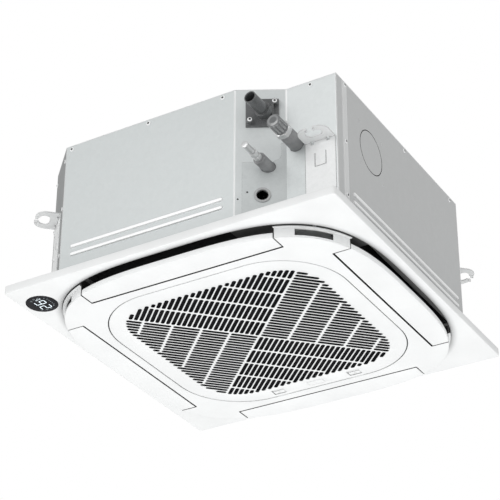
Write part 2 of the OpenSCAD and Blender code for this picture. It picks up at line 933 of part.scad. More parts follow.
liquid_x = pipe_point(liquid_s)[0];
liquid_y = pipe_point(liquid_s)[1];
liquid_end = liquid_y - liquid_sleeve_l - union_l;
distributor_r = 11;
distributor_y = -row_out;
distributor_h = 46;
feed_r = 3;
feed_pitch = 12;
module liquid_pipe() {
  color([0.8, 0.5, 0.32]) {
    bar_y(liquid_x, liquid_z, liquid_r, liquid_end, distributor_y);
    translate([liquid_x, distributor_y, liquid_z - distributor_h / 2])
      cylinder(r = distributor_r, h = distributor_h);
    for (k = [-1, 0, 1])
      bar_x(distributor_y, liquid_z + k * feed_pitch, feed_r, end_face, liquid_x);
  }
}

module liquid_union() {
  y1 = liquid_y - liquid_sleeve_l;
  waist = 7;
  color([0.86, 0.87, 0.87]) difference() {
    union() {
      hex_along_y(liquid_x, liquid_z, union_w, y1 - union_l / 2 + waist / 2, y1);
      bar_y(liquid_x, liquid_z, union_w / 2 - fine, liquid_end, y1 - fine);
      hex_along_y(liquid_x, liquid_z, union_w, liquid_end, liquid_end + union_l / 2 - waist / 2);
    }
    bar_y(liquid_x, liquid_z, liquid_r + fit_gap, liquid_end - fine, y1 + fine);
  }
}

module liquid_cap() {
  rim = 3;
  color([0.88, 0.89, 0.89]) {
    bar_y(liquid_x, liquid_z, liquid_cap_r - fine, liquid_end - liquid_cap_l + rim, liquid_end);
    bar_y(liquid_x, liquid_z, liquid_cap_r, liquid_end - liquid_cap_l,
       liquid_end - liquid_cap_l + rim);
  }
}

module liquid_sleeve() {
  y0 = liquid_y - liquid_sleeve_l;
  color([0.27, 0.28, 0.29]) difference() {
    bar_y(liquid_x, liquid_z, liquid_sleeve_r, y0, liquid_y + 3 * liner);
    bar_y(liquid_x, liquid_z, liquid_r + fit_gap, y0 - fine, liquid_y + 4 * liner);
  }
}

// Drain outlet: square flange on the pipe face, collar, and open pipe along minus Y.
drain_x = pipe_point(drain_s)[0];
drain_y = pipe_point(drain_s)[1];
flange_s = 69;
flange_boss_r = 8;
flange_boss_h = 16;
flange_screw_x = 31;
flange_screw_z = 28;
module drain_flange_screws() {
  for (k = [-1, 1]) on_pipe_face(flange_s + k * flange_screw_x, drain_z + k * flange_screw_z)
    children();
}
socket_in = 30;
module drain_socket() {
  color([0.33, 0.34, 0.34]) difference() {
    union() {
      on_pipe_face(flange_s, drain_z)
        box([-flange_w / 2, -flange_t, -flange_w / 2], [flange_w / 2, 0, flange_w / 2]);
      drain_flange_screws() rotate([quarter, 0, 0])
        cylinder(r = flange_boss_r, h = flange_boss_h);
      bar_y(drain_x, drain_z, drain_r, drain_mouth, drain_y + socket_in);
      bar_y(drain_x, drain_z, collar_r, drain_y - 2 * liner, drain_y + liner / 2);
      on_pipe_face(drain_s, drain_z) for (k = [-1, 1])
        box([k * flange_screw_x / 2 - over, -flange_boss_h, -collar_r],
          [k * flange_screw_x / 2 + over, 0, collar_r]);
    }
    bar_y(drain_x, drain_z, drain_r - drain_wall, drain_mouth - fine, drain_y + socket_in + fine);
    drain_flange_screws() translate([0, -flange_boss_h - over, 0]) rotate([-quarter, 0, 0])
      cylinder(r = shank_r + fit_gap, h = flange_boss_h + 2 * over);
  }
}

// Drain hose: up from the pump, across and into the drain socket.
hose_r = drain_r - drain_wall - fit_gap;
hose_bend = 22;
hose_wall = 2;
module hose_path(r) {
  translate([pump_x, pump_y, pump_top]) cylinder(r = r, h = drain_z - hose_bend - pump_top);
  translate([pump_x - hose_bend, pump_y, drain_z - hose_bend]) rotate([quarter, 0, 0])
    rotate_extrude(angle = quarter) translate([hose_bend, 0]) circle(r = r);
  bar_x(pump_y, drain_z, r, drain_x + hose_bend, pump_x - hose_bend);
  translate([drain_x + hose_bend, pump_y - hose_bend, drain_z]) rotate([0, 0, quarter])
    rotate_extrude(angle = quarter) translate([hose_bend, 0]) circle(r = r);
  bar_y(drain_x, drain_z, r, drain_y + socket_in / 2, pump_y - hose_bend);
}
module drain_hose() {
  color([0.85, 0.85, 0.83]) hose_path(hose_r);
}

// Drain pump: motor above, inlet foot in the sump, outlet spigot for the hose.
pump_lift = 20;
pump_low = coil_bottom + pump_lift;
pump_top = -50;
pump_foot_r = 18;
foot_lift = 8;
pump_foot_low = pan_top - channel_d + foot_lift;
foot_wall = 2.5;
ear_w = 14;
module drain_pump() {
  ear_t = 4;
  ear_z = pump_low + 2 * pump_lift;
  wheel_room = wheel_r + over;
  color([0.9, 0.9, 0.88]) difference() {
    union() {
      translate([pump_x, pump_y, pump_low + pump_lift])
        cylinder(r = pump_r, h = pump_top - pump_low - pump_lift);
      translate([pump_x, pump_y, pump_foot_low])
        cylinder(r = wheel_room + foot_wall, h = pump_low + pump_lift + fine - pump_foot_low);
      box([pump_x - ear_w, face_y + 2 * sheet + seat_gap + liner, ear_z],
        [pump_x + ear_w, pump_y, ear_z + ear_t]);
    }
    translate([pump_x, pump_y, pump_foot_low - fine])
      cylinder(r = wheel_room, h = wheel_high - pump_foot_low + over);
    translate([pump_x, pump_y, wheel_low]) cylinder(r = axle_r + fit_gap, h = axle_l + over);
  }
}

wheel_r = 12;
wheel_lift = 6;
wheel_h = 12;
wheel_low = pump_foot_low + wheel_lift;
wheel_high = wheel_low + wheel_h;
axle_r = 2;
axle_l = 24;
module pump_wheel() {
  color([0.2, 0.35, 0.6]) translate([pump_x, pump_y, wheel_low]) {
    cylinder(r = axle_r, h = axle_l);
    cylinder(r = 2 * axle_r, h = wheel_high - wheel_low);
    for (a = [0 : eighth : turn - 1]) rotate([0, 0, a])
      box([axle_r + fine, -fine / 2, fine / 2], [wheel_r, fine / 2, wheel_high - wheel_low - fine / 2]);
  }
}

// Float switch: a guide stem on an arm, and a float that slides on it.
float_x = 385;
float_y = -236;
stem_r = 3;
float_r = 11;
float_h = 16;
float_lift = 10;
float_low = pan_top - channel_d + float_lift;
float_travel = 12;
stem_spare = 8;
stem_foot = 4;
stem_top = float_low + float_h + float_travel + stem_spare;
module float_switch() {
  color([0.88, 0.88, 0.86]) {
    translate([float_x, float_y, float_low - stem_foot]) {
      cylinder(r = stem_r, h = stem_top - float_low + stem_foot);
      cylinder(r = 2 * stem_r, h = stem_foot - fine);
    }
    translate([float_x, float_y, stem_top - 6 * fine]) cylinder(r = float_r, h = 10 * fine);
    box([float_x, float_y - stem_r, stem_top], [casing_half - 2 * sheet - seat_gap - liner,
      float_y + stem_r, stem_top + stem_foot]);
  }
}

module float_body() {
  color([0.95, 0.95, 0.9]) translate([float_x, float_y, float_low]) difference() {
    cylinder(r = float_r, h = float_h);
    translate([0, 0, -fine]) cylinder(r = stem_r + fit_gap, h = float_h + over);
  }
}

// Foam drain pan with the water channel, the sump and the four ducts.
sump_a = [206, -346];
sump_b = [411, -219];
front_duct_end = 160;
right_duct_end = -198;
pan_hole = 250;
module duct_rects(grow) {
  translate([-duct_half - grow, -duct_out - grow])
    square([front_duct_end + duct_half + 2 * grow, duct_out - duct_in + 2 * grow]);
  translate([duct_in - grow, right_duct_end - grow])
    square([duct_out - duct_in + 2 * grow, duct_half - right_duct_end + 2 * grow]);
  translate([-duct_half - grow, duct_in - grow])
    square([2 * (duct_half + grow), duct_out - duct_in + 2 * grow]);
  translate([-duct_out - grow, -duct_half - grow])
    square([duct_out - duct_in + 2 * grow, 2 * (duct_half + grow)]);
}

module drain_pan() {
  channel_gap = 8;
  pad = 24;
  color([0.92, 0.92, 0.9]) {
    difference() {
      slab(pan_bottom, pan_top) difference() {
        polygon(inset(plan, sheet + seat_gap));
        round_square(pan_hole, 2 * liner);
        duct_rects(0);
      }
      slab(pan_top - channel_d, pan_top + fine) {
        difference() {
          round_square(coil_half + channel_gap, coil_r + channel_gap);
          round_square(coil_half - coil_depth - channel_gap,
                coil_r - coil_depth - channel_gap);
        }
        translate(sump_a) square(sump_b - sump_a);
      }
      for (x = [-1, 1], y = [-1, 1]) translate([x * panel_screw_x, y * panel_screw_x, pan_bottom - fine])
        cylinder(r = panel_screw_r + fit_gap, h = 2 * liner);
      cable_room();
      all_casing_shanks();
    }
    for (a = [0 : quarter : turn - 1]) rotate([0, 0, a])
      for (k = [-1, 0]) translate([k * 6 * pad, coil_half - coil_depth - channel_gap - fine,
                    pan_top - channel_d - fine])
        cube([pad, coil_depth + 2 * channel_gap + over, coil_bottom - pan_top + channel_d + fine]);
  }
}
// Bell mouth: square plate with the flared intake throat.
bell_half = 322;
bell_corner = 168;
panel_screw_x = 258;
panel_screw_r = 3;
throat_r = 159;
throat_rise = 4;
throat_top = pan_top + throat_rise;
flare_r = 198;
module bell_mouth() {
  t = 2;
  low_in = 20;
  low_up = 22;
  color([0.16, 0.16, 0.17]) {
    slab(bell_z, pan_bottom) difference() {
      round_square(bell_half, bell_corner);
      circle(r = flare_r);
      for (x = [-1, 1], y = [-1, 1]) translate([x * panel_screw_x, y * panel_screw_x])
        circle(r = panel_screw_r + fit_gap);
    }
    rotate_extrude() polygon([
      [flare_r + fine, bell_z], [flare_r + fine, pan_bottom],
      [flare_r - wall, pan_bottom], [flare_r - low_in, bell_z + low_up],
      [throat_r + 2 * t, bell_z + 2 * low_up], [throat_r + t, throat_top],
      [throat_r, throat_top], [throat_r + t, bell_z + 2 * low_up],
      [flare_r - low_in - t, bell_z + low_up], [flare_r - wall - t, bell_z]
    ]);
  }
}

// Turbo fan: hub plate with a cone over the motor, backward blades and a shroud ring.
shroud_low = pan_top - over;
shroud_step = 52;
hub_h = 46;
fan_hub_low = fan_top - hub_h;
hub_r = 20;
cone_r = 92;
cone_drop = 34;
cone_run = 12;
cone_z = fan_top - cone_drop;
blade_in = 150;
blade_sweep = 44;
blade_steps = 10;
module blade_plan() {
  function at(k, side) =
    let (u = k / blade_steps,
      r = blade_in + (fan_r - blade_in - fine) * u,
      a = -blade_sweep * u)
    [r * cos(a) - side * sin(a - quarter / 2) * blade_t / 2,
    r * sin(a) + side * cos(a - quarter / 2) * blade_t / 2];
  polygon(concat([for (k = [0 : blade_steps]) at(k, 1)],
         [for (k = [blade_steps : -1 : 0]) at(k, -1)]));
}

// Shroud curve: reach from the inlet radius and height above its lower edge.
shroud_curve = [[0, 12], [10, 30], [32, 44]];
module shroud_profile(t) {
  c = [for (p = shroud_curve) [fan_inlet_r + p[0], shroud_low + p[1]]];
  polygon([
    [fan_inlet_r, shroud_low], c[0], c[1], c[2],
    [fan_r, shroud_low + shroud_step], [fan_r, shroud_low + shroud_step + t],
    c[2] + [-over, t], c[1] + [-over, t + fine],
    c[0] + [-t, t + fine], [fan_inlet_r - t, shroud_low]
  ]);
}

module fan_impeller() {
  color([0.93, 0.93, 0.92]) {
    rotate_extrude() polygon([
      [shaft_r + fit_gap, fan_hub_low], [hub_r, fan_hub_low],
      [hub_r, cone_z - fan_wall], [cone_r - cone_run + over, cone_z - fan_wall],
      [cone_r + cone_run + over, fan_top - fan_wall], [fan_r, fan_top - fan_wall], [fan_r, fan_top],
      [cone_r + cone_run, fan_top], [cone_r - cone_run, cone_z],
      [hub_r, cone_z], [hub_r - over, cone_z + cone_run / 2],
      [shaft_r + fit_gap, cone_z + cone_run / 2]
    ]);
    rotate_extrude() shroud_profile(fan_wall);
    difference() {
      slab(shroud_low + shroud_curve[0][1], fan_top - fine)
        for (k = [0 : blade_count - 1]) rotate(k * turn / blade_count) blade_plan();
      rotate_extrude() polygon([
        [fan_inlet_r - 2 * fan_wall, shroud_low - fine],
        for (p = shroud_curve) [fan_inlet_r + p[0] - fine, shroud_low + p[1] + over],
        [fan_r + over, shroud_low + shroud_step + fine], [fan_r + over, shroud_low - fine]
      ]);
    }
  }
}

motor_lift = 14;
motor_low = cone_z + motor_lift;
module motor_body() {
  can_r = motor_r - seam_t;
  color([0.55, 0.56, 0.57]) difference() {
    union() {
      rotate_extrude() polygon([
        [0, motor_low], [motor_r - motor_lift, motor_low], [can_r, motor_low + seam_t + fine],
        [can_r, ear_mid - seam_t], [motor_r, ear_mid - seam_t],
        [motor_r, ear_mid + seam_t], [can_r, ear_mid + seam_t],
        [can_r, motor_low + motor_h - 2 * seam_t], [motor_r - 4 * seam_t, motor_low + motor_h],
        [0, motor_low + motor_h]
      ]);
      for (a = [0 : quarter : turn - 1]) rotate([0, 0, a + eighth])
        box([motor_r - seam_t - over, -ear_w, ear_mid - motor_ear],
          [mount_ring_r + ear_w, ear_w, ear_mid + motor_ear]);
    }
    translate([0, 0, motor_low - fine]) cylinder(r = shaft_r + fit_gap, h = motor_h - liner);
    for (a = [0 : quarter : turn - 1]) rotate([0, 0, a + eighth])
      translate([mount_ring_r, 0, motor_low]) cylinder(r = mount_r, h = motor_h);
  }
}
mount_r = 8;
mount_half = 9;
motor_ear = 3;
seam_t = 4;
stud_r = 4;
mount_lip = 11;
ear_mid = motor_low + motor_h / 2;

module motor_mounts() {
  color([0.1, 0.1, 0.1]) for (a = [0 : quarter : turn - 1]) rotate([0, 0, a + eighth])
    translate([mount_ring_r, 0, 0]) rotate_extrude() polygon([
      [stud_r + fit_gap, ear_mid - mount_half], [mount_lip, ear_mid - mount_half],
      [mount_lip, ear_mid - motor_ear], [mount_r, ear_mid - motor_ear],
      [mount_r, ear_mid + motor_ear], [mount_lip, ear_mid + motor_ear],
      [mount_lip, ear_mid + mount_half], [stud_r + fit_gap, ear_mid + mount_half]
    ]);
}

// Studs from the top plate with spacer tubes and nuts, one set for each rubber mount.
module motor_studs() {
  nut = 13;
  nut_t = 6;
  nut_z = ear_mid - mount_half - nut_t;
  color([0.75, 0.76, 0.77]) for (a = [0 : quarter : turn - 1]) rotate([0, 0, a + eighth])
    translate([mount_ring_r, 0, 0]) {
      translate([0, 0, nut_z - stud_r])
        cylinder(r = stud_r, h = casing_top - nut_z + stud_r + fine);
      translate([0, 0, ear_mid + mount_half])
        cylinder(r = 2 * stud_r, h = casing_top - sheet - ear_mid - mount_half);
      translate([0, 0, nut_z])
        cylinder(r = nut / 2 / cos(half_turn / 6), h = nut_t, $fn = 6);
      translate([0, 0, casing_top]) cylinder(r = nut / 2 / cos(half_turn / 6), h = over, $fn = 6);
    }
}

shaft_end = 14;
module motor_shaft() {
  color([0.75, 0.76, 0.78])
    translate([0, 0, fan_hub_low - shaft_end]) cylinder(r = shaft_r, h = ear_mid - fan_hub_low + shaft_end);
}

module fan_nut() {
  nut = 22;
  nut_t = 10;
  washer_t = 3;
  color([0.7, 0.7, 0.72]) difference() {
    translate([0, 0, fan_hub_low - nut_t]) union() {
      cylinder(r = nut / 2 / cos(half_turn / 6), h = nut_t - tiny, $fn = 6);
      translate([0, 0, nut_t - washer_t]) cylinder(r = hub_r - over, h = washer_t - tiny);
    }
    translate([0, 0, fan_hub_low - 2 * nut_t]) cylinder(r = shaft_r + fit_gap, h = 3 * nut_t);
  }
}

// Control box under the bell plate, beside the intake throat.
box_in = 24.5;
box_w = 104;
box_l = 300;
box_a = [box_in - intake_half, -box_l / 2];
box_b = box_a + [box_w, box_l];
box_h = 34;
box_wall = 1.2;
box_z = bell_z - box_h;
module control_box() {
  color([0.72, 0.73, 0.74]) difference() {
    box([box_a[0], box_a[1], box_z + cover_t], [box_b[0], box_b[1], bell_z]);
    box([box_a[0] + box_wall, box_a[1] + box_wall, box_z], [box_b[0] - box_wall,
      box_b[1] - box_wall, bell_z - box_wall]);
    bar_x(box_l * 2 / 5, box_z + box_h / 2, box_h / 4, box_b[0] - over, box_b[0] + over);
  }
}

module control_cover() {
  lip = 5;
  color([0.75, 0.76, 0.77]) {
    box([box_a[0], box_a[1], box_z], [box_b[0], box_b[1], box_z + cover_t]);
    for (y = [box_a[1] + box_wall + fit_gap, box_b[1] - 2 * box_wall - fit_gap])
      box([box_a[0] + lip, y, box_z], [box_b[0] - lip, y + box_wall, box_z + lip]);
  }
}

// Parts on the board: left, front, right and back as shares of the board, height as a share of the tallest.
board_part_shares = [
  [0.14, 0.54, 0.64, 0.73, 0.8], [0.7, 0.27, 0.93, 0.63, 0.6], [0.11, 0.81, 0.82, 0.93, 0.5]
];
module control_board() {
  edge = 8;
  board_t = 1.6;
  board_end = 70;
  post_h = 6;
  post_r = 3;
  can_r = 8;
  part_h = 16;
  z = bell_z - box_wall;
  top = z - post_h;
  a = box_a + [edge, board_end];
  b = box_b - [edge, edge];
  run = b - a;
  color([0.1, 0.35, 0.2]) {
    box([a[0], a[1], top - board_t], [b[0], b[1], top]);
    for (x = [a[0] + 2 * post_r, b[0] - 2 * post_r], y = [a[1] + 2 * post_r, b[1] - 2 * post_r])
      translate([x, y, top - fine / 2]) cylinder(r = post_r, h = post_h + fine / 2);
    for (k = [0 : 2]) translate([a[0] + (1 + k * 3 / 2) * 2 * can_r, a[1] + 3 * can_r, top - part_h])
      cylinder(r = can_r, h = part_h - fine);
    for (q = board_part_shares)
      box([a[0] + q[0] * run[0], a[1] + q[1] * run[1], top - q[4] * part_h],
        [a[0] + q[2] * run[0], a[1] + q[3] * run[1], top - fine]);
  }
}

module terminal_block() {
  ways = 5;
  way = 11;
  block_in = 16;
  block_w = 34;
  block_h = 22;
  screw_r = 3.5;
  z = bell_z - box_wall;
  x0 = box_a[0] + block_in;
  y0 = box_a[1] + block_in / 2;
  color([0.13, 0.13, 0.13]) difference() {
    box([x0, y0, z - block_h], [x0 + ways * way, y0 + block_w, z]);
    for (k = [0 : ways - 1]) {
      translate([x0 + (k + 1 / 2) * way, y0 + block_w / 2, z - block_h - fine])
        cylinder(r = screw_r, h = block_h / 2);
      box([x0 + over + k * way, y0 - fine, z - block_h * 7 / 8],
        [x0 - over + (k + 1) * way, y0 + block_w / 4, z - block_h / 2]);
    }
  }
}

// Panel frame: flat border with the round-cornered opening, rim and inner flange.
web_z = -ceiling_drop - wall;
module panel_frame() {
  color([0.95, 0.95, 0.95]) {
    slab(panel_z, panel_z + wall) difference() {
      round_square(panel_half, panel_r);
      polygon(round_outline(ring_open));
      translate([display_x, display_y]) circle(r = display_r + seat_gap);
    }
    slab(panel_z, -ceiling_drop) difference() {
      round_square(panel_half, panel_r);
      round_square(panel_half - wall, panel_r - wall);
    }
    slab(panel_z, web_z) difference() {
      polygon(round_outline(ring_open + wall));
      polygon(round_outline(ring_open));
    }
  }
}

vane_x = vane_in + barrel_r;
vane_z = disc_z + barrel_r;
vane_angles = [0, quarter, half_turn, -quarter];
module at_vane(a) {
  rotate([0, 0, a]) children();
}

// Plan zone of one vane, grown by a gap.
module vane_zone(gap) {
  translate([vane_in - gap, -vane_half - gap]) square([casing_half, 2 * (vane_half + gap)]);
}

// Centre frame: disc with the vane openings, corner skirts, intake wall and upper web.
skirt_gap = 0.4;
slot_low = 6;
slot_high = 24;
tab_half = 3;
tab_r = 2.2;
tab_up = 5.2;
tab_top = 12;
hinge_y = -(intake_half - grille_gap) + hinge_in;
hinge_z = plate_top_z;
intake_wall = intake_half + grille_gap;
module corner_zones() {
  difference() {
    square(4 * casing_half, center = true);
    for (a = vane_angles) rotate(a) vane_zone(vane_gap);
  }
}
module centre_frame() {
  color([0.95, 0.95, 0.95]) difference() {
    union() {
      slab(disc_z, plate_top_z) difference() {
        intersection() {
          polygon(round_outline(disc_size));
          corner_zones();
        }
        round_square(intake_half, intake_r);
      }
      slab(disc_z, web_z + fine) intersection() {
        difference() {
          polygon(round_outline(disc_size));
          polygon(round_outline(disc_size - wall));
        }
        corner_zones();
      }
      slab(panel_z - wall, panel_z - fine / 2) intersection() {
        difference() {
          polygon(round_outline(ring_open - skirt_gap));
          polygon(round_outline(disc_size - fine));
        }
        corner_zones();
      }
      slab(disc_z + fine, -ceiling_drop) difference() {
        round_square(intake_wall + wall, intake_r + grille_gap + wall);
        round_square(intake_wall, intake_r + grille_gap);
      }
      slab(web_z, -ceiling_drop) difference() {
        polygon(round_outline(ring_open + 4 * wall));
        round_square(intake_wall, intake_r + grille_gap);
        duct_rects(over);
      }
      for (a = vane_angles) at_vane(a) for (k = [-1, 1])
        translate([0, k * (vane_half + vane_gap + wall / 2), 0])
          box([intake_wall + fine, -wall / 2, disc_z + fine],
            [vane_end_x, wall / 2, web_z + fine]);
      for (a = [0 : quarter : turn - 1]) rotate([0, 0, a + eighth])
        box([panel_screw_x * sqrt(2) - liner, -liner, web_z],
          [intake_corner + fine, liner, -ceiling_drop]);
      hinge_tabs();
    }
    for (a = [0 : quarter : turn - 1]) rotate([0, 0, a + eighth]) {
      box([casing_half, -corner_slot, disc_z + slot_low],
        [casing_half * sqrt(2), corner_slot, disc_z + slot_high]);
      translate([panel_screw_x * sqrt(2), 0, web_z - fine])
        cylinder(r = panel_screw_r + fit_gap, h = wall + over);
    }
    for (a = vane_angles) at_vane(a)
      bar_y(vane_x, vane_z, stub_r + fit_gap, -vane_half - 4 * wall, vane_half + 4 * wall);
    for (x = [-1, 1]) {
      bar_x(hinge_y, hinge_z, pin_r + fit_gap, x * hinge_x - 4 * tab_half, x * hinge_x + 4 * tab_half);
      translate([x * latch_x, 0, 0])
        box([-tongue_w / 2 - fine, intake_wall - over, plate_top_z + tiny],
          [tongue_w / 2 + fine, intake_wall + wall + fine, plate_top_z + 2 * wall]);
    }
  }
}
vane_end_in = 29;
vane_end_x = disc_size - vane_end_in;
intake_corner = (intake_half - intake_r) * sqrt(2) + intake_r + grille_gap;
tongue_w = 38;
tongue_t = 2.5;
tongue_lift = 0.3;

module hinge_tabs() {
  for (x = [-1, 1]) translate([x * hinge_x, 0, 0]) {
    box([-tab_half, -intake_wall - fine, hinge_z + tab_up], [tab_half, hinge_y + tab_r, hinge_z + tab_top]);
    box([-tab_half, hinge_y - tab_r, hinge_z], [tab_half, hinge_y + tab_r, hinge_z + tab_top]);
    bar_x(hinge_y, hinge_z, tab_r, -tab_half, tab_half);
  }
}

module hinge_pins() {
  color([0.75, 0.76, 0.77]) for (x = [-1, 1])
    bar_x(hinge_y, hinge_z, pin_r, x * hinge_x - 3.4 * tab_half, x * hinge_x + 3.4 * tab_half);
}

module outlet_foam() {
  lo = intake_wall + wall + seat_gap;
  hi = vane_in - 2 * vane_gap;
  color([0.93, 0.93, 0.92]) for (a = vane_angles) at_vane(a)
    box([lo, -duct_half, plate_top_z + seat_gap], [hi, duct_half, web_z]);
}

module panel_seal() {
  seal_w = 22;
  edge_w = 9;
  color([0.15, 0.15, 0.15]) slab(-ceiling_drop, pan_bottom) {
    difference() {
      round_square(intake_wall + seal_w, intake_r + grille_gap + seal_w);
      round_square(intake_wall, intake_r + grille_gap);
    }
    difference() {
      polygon(inset(plan, sheet + seat_gap));
      polygon(inset(plan, sheet + seat_gap + edge_w));
    }
  }
}

module panel_screws() {
  head = 6;
  head_t = 4;
  color([0.8, 0.81, 0.82]) for (a = [0 : quarter : turn - 1]) rotate([0, 0, a + eighth])
    translate([panel_screw_x * sqrt(2), 0, 0]) {
      translate([0, 0, web_z - head_t]) cylinder(r = head, h = head_t);
      translate([0, 0, web_z - fine]) cylinder(r = panel_screw_r, h = liner + 4 * wall);
    }
}

// Vane seen in its own frame: plus X outward, hinge barrel along Y.
module vane(a) {
  color([0.96, 0.96, 0.96]) at_vane(a) {
    slab(disc_z, plate_top_z) intersection() {
      polygon(round_outline(disc_size));
      translate([vane_x, -vane_half]) square([casing_half, 2 * vane_half]);
    }
    slab(disc_z, disc_z + vane_lip) intersection() {
      difference() {
        polygon(round_outline(disc_size));
        polygon(round_outline(disc_size - wall));
      }
      translate([vane_x, -vane_half]) square([casing_half, 2 * vane_half]);
    }
    bar_y(vane_x, vane_z, barrel_r, -vane_half, vane_half);
    bar_y(vane_x, vane_z, stub_r, -vane_half - vane_gap - wall, vane_half + vane_gap + wall + stub_in);
  }
}
stub_in = 8;
module vane_right() vane(0);
module vane_back() vane(quarter);
module vane_left() vane(half_turn);
module vane_front() vane(-quarter);

motor_rise = 6;
module vane_motors() {
  y0 = vane_half + vane_gap + wall;
  color([0.85, 0.86, 0.87]) for (a = vane_angles) at_vane(a) difference() {
    union() {
      bar_y(vane_x, vane_z + motor_rise, vane_motor_r, y0, y0 + vane_motor_l);
      bar_y(vane_x, vane_z, stub_r + fine, y0, y0 + vane_motor_l / 2);
      box([vane_x - vane_motor_r * 3 / 2, y0, vane_z + motor_rise - over],
        [vane_x + vane_motor_r * 3 / 2, y0 + fine, vane_z + motor_rise + over * 2]);
    }
    bar_y(vane_x, vane_z, stub_r + fit_gap, y0 - fine, y0 + stub_in + fine);
  }
}

// Limit of the slotted field along a slot, at a distance from the field diagonal.
function field_limit(p) =
  let (c = (field_half - field_r) * sqrt(2), e = field_r / sqrt(2))
  p < e ? c + sqrt(field_r * field_r - p * p)
  : p < c + e ? field_half * sqrt(2) - p
  : p < c + field_r ? sqrt(field_r * field_r - (p - c) * (p - c))
  : 0;
function slot_points(a, b, w) =
  let (h = w / 2, c = w / 4)
  [[h, a + c], [h, b - c], [c, b], [-c, b], [-h, b - c], [-h, a + c], [-c, a], [c, a]];
least_slot = 1.3 * slot_w;

// Slots of one quadrant, with their length along Y and both axes positive.
module slot_quadrant() {
  lines = floor(field_half * sqrt(2) / slot_pitch);
  bands = ceil(field_half * sqrt(2) / band_pitch);
  for (i = [0 : lines - 1]) {
    p = bar_w / 2 + slot_w / 2 + i * slot_pitch;
    end = field_limit(p + slot_w / 2);
    for (k = [0 : bands - 1]) {
      a = k * band_pitch + bar_w / 2;
      b = (k + 1) * band_pitch - bar_w / 2;
      rest = end - b - bar_w;
      tip = end > b && rest > least_slot ? b : end;
      if (tip - a > least_slot)
        translate([p, 0]) polygon(slot_points(a, tip, slot_w));
    }
  }
}
module slot_field() {
  for (a = [0 : quarter : turn - 1]) rotate(a + eighth) slot_quadrant();
}

// Intake grille: slotted plate with hinge knuckles, latch windows and guide rails.
grille_half = intake_half - grille_gap;
grille_r = intake_r - grille_gap;
edge_cut = 1.5;
knuckle_r = 2.9;
knuckle_end = 9.6;
latch_room = 0.6;
latch_window_d = 24;
cover_w = 46;
cover_d = 19;
carriage_side = 2;
rail_t = 2.5;
rail_h = 5;
carriage_y = latch_y - latch_window_d / 2 - over;
tongue_end = intake_wall + over;
module intake_grille() {
  side = tongue_w / 2 + seat_gap;
  window_end = latch_y + latch_window_d / 2;
  color([0.95, 0.95, 0.95]) difference() {
    union() {
      slab(disc_z, disc_z + edge_cut) round_square(grille_half - edge_cut, grille_r - edge_cut);
      slab(disc_z + edge_cut, plate_top_z) round_square(grille_half, grille_r);
      for (x = [-1, 1], k = [-1, 1])
        bar_x(hinge_y, hinge_z, knuckle_r,
           x * hinge_x + (k > 0 ? tab_half + seat_gap : -knuckle_end),
           x * hinge_x + (k > 0 ? knuckle_end : -tab_half - seat_gap));
      for (x = [-1, 1], k = [-1, 1]) translate([x * latch_x, 0, 0]) scale([k, 1, 1]) {
        box([side, carriage_y, plate_top_z - fine],
          [side + rail_t, window_end, plate_top_z + rail_h]);
        box([side - over, carriage_y, plate_top_z + tongue_lift * 2 + tongue_t],
          [side + fine, window_end, plate_top_z + rail_h]);
      }
    }
    slab(disc_z - fine, plate_top_z + fine) slot_field();
    for (x = [-1, 1]) {
      translate([x * latch_x, 0, 0])
        box([-latch_w / 2 - latch_room, latch_y - latch_window_d / 2, disc_z - fine],
          [latch_w / 2 + latch_room, window_end, plate_top_z + fine]);
      box([x * hinge_x - tab_half - seat_gap, -grille_half - fine, disc_z + edge_cut / 3],
        [x * hinge_x + tab_half + seat_gap, hinge_y + tab_r + seat_gap, hinge_z + tab_top]);
      bar_x(hinge_y, hinge_z, pin_r + fit_gap, x * hinge_x - knuckle_end - fine,
         x * hinge_x + knuckle_end + fine);
    }
    box([-(cover_w + latch_room) / 2, latch_y - (cover_d + latch_room) / 2, disc_z - fine],
      [(cover_w + latch_room) / 2, latch_y + (cover_d + latch_room) / 2, plate_top_z + fine]);
  }
}

// Small blank cover in the middle of the latch side.
module grille_cover() {
  rim = 2;
  color([0.96, 0.96, 0.96]) {
    box([-cover_w / 2, latch_y - cover_d / 2, disc_z], [cover_w / 2, latch_y + cover_d / 2, plate_top_z]);
    box([-cover_w / 2 - rim, latch_y - cover_d / 2 - rim, plate_top_z],
      [cover_w / 2 + rim, latch_y + cover_d / 2 + rim, plate_top_z + rim / 2]);
  }
}

// Slide latch: thumb piece in the window, carriage above the plate, tongue over the frame.
module latch(x) {
  y1 = latch_y + latch_window_d / 2 - latch_room;
  color([0.93, 0.93, 0.93]) translate([x * latch_x, 0, 0]) {
    difference() {
      box([-latch_w / 2, y1 - latch_d, disc_z + latch_room], [latch_w / 2, y1, plate_top_z + fine]);
      translate([0, y1 - latch_d / 2, disc_z]) linear_extrude(height = 2 * latch_room)
        polygon([[-latch_d / 3, latch_d / 5], [latch_d / 3, latch_d / 5], [0, -latch_d / 4]]);
    }
    box([-tongue_w / 2, carriage_y + latch_travel, plate_top_z + tongue_lift],
      [tongue_w / 2, tongue_end, plate_top_z + tongue_lift + tongue_t]);
  }
}
module latch_left() latch(-1);
module latch_right() latch(1);

// Air filter: frame with cross bars and a mesh sheet.
module air_filter() {
  frame_w = 8;
  cell = 8;
  strand = 1.6;
  lines = floor(filter_half / cell);
  z = plate_top_z + seat_gap;
  color([0.25, 0.26, 0.28]) {
    slab(z, z + filter_t) {
      difference() {
        round_square(filter_half, field_r - over);
        round_square(filter_half - frame_w, field_r - over - frame_w);
      }
      intersection() {
        round_square(filter_half - fine, field_r - over - fine);
        union() {
          square([2 * filter_half, frame_w], center = true);
          square([frame_w, 2 * filter_half], center = true);
        }
      }
    }
    slab(z + filter_t / 3, z + filter_t / 2) round_square(filter_half - fine, field_r - over - fine);
  }
}

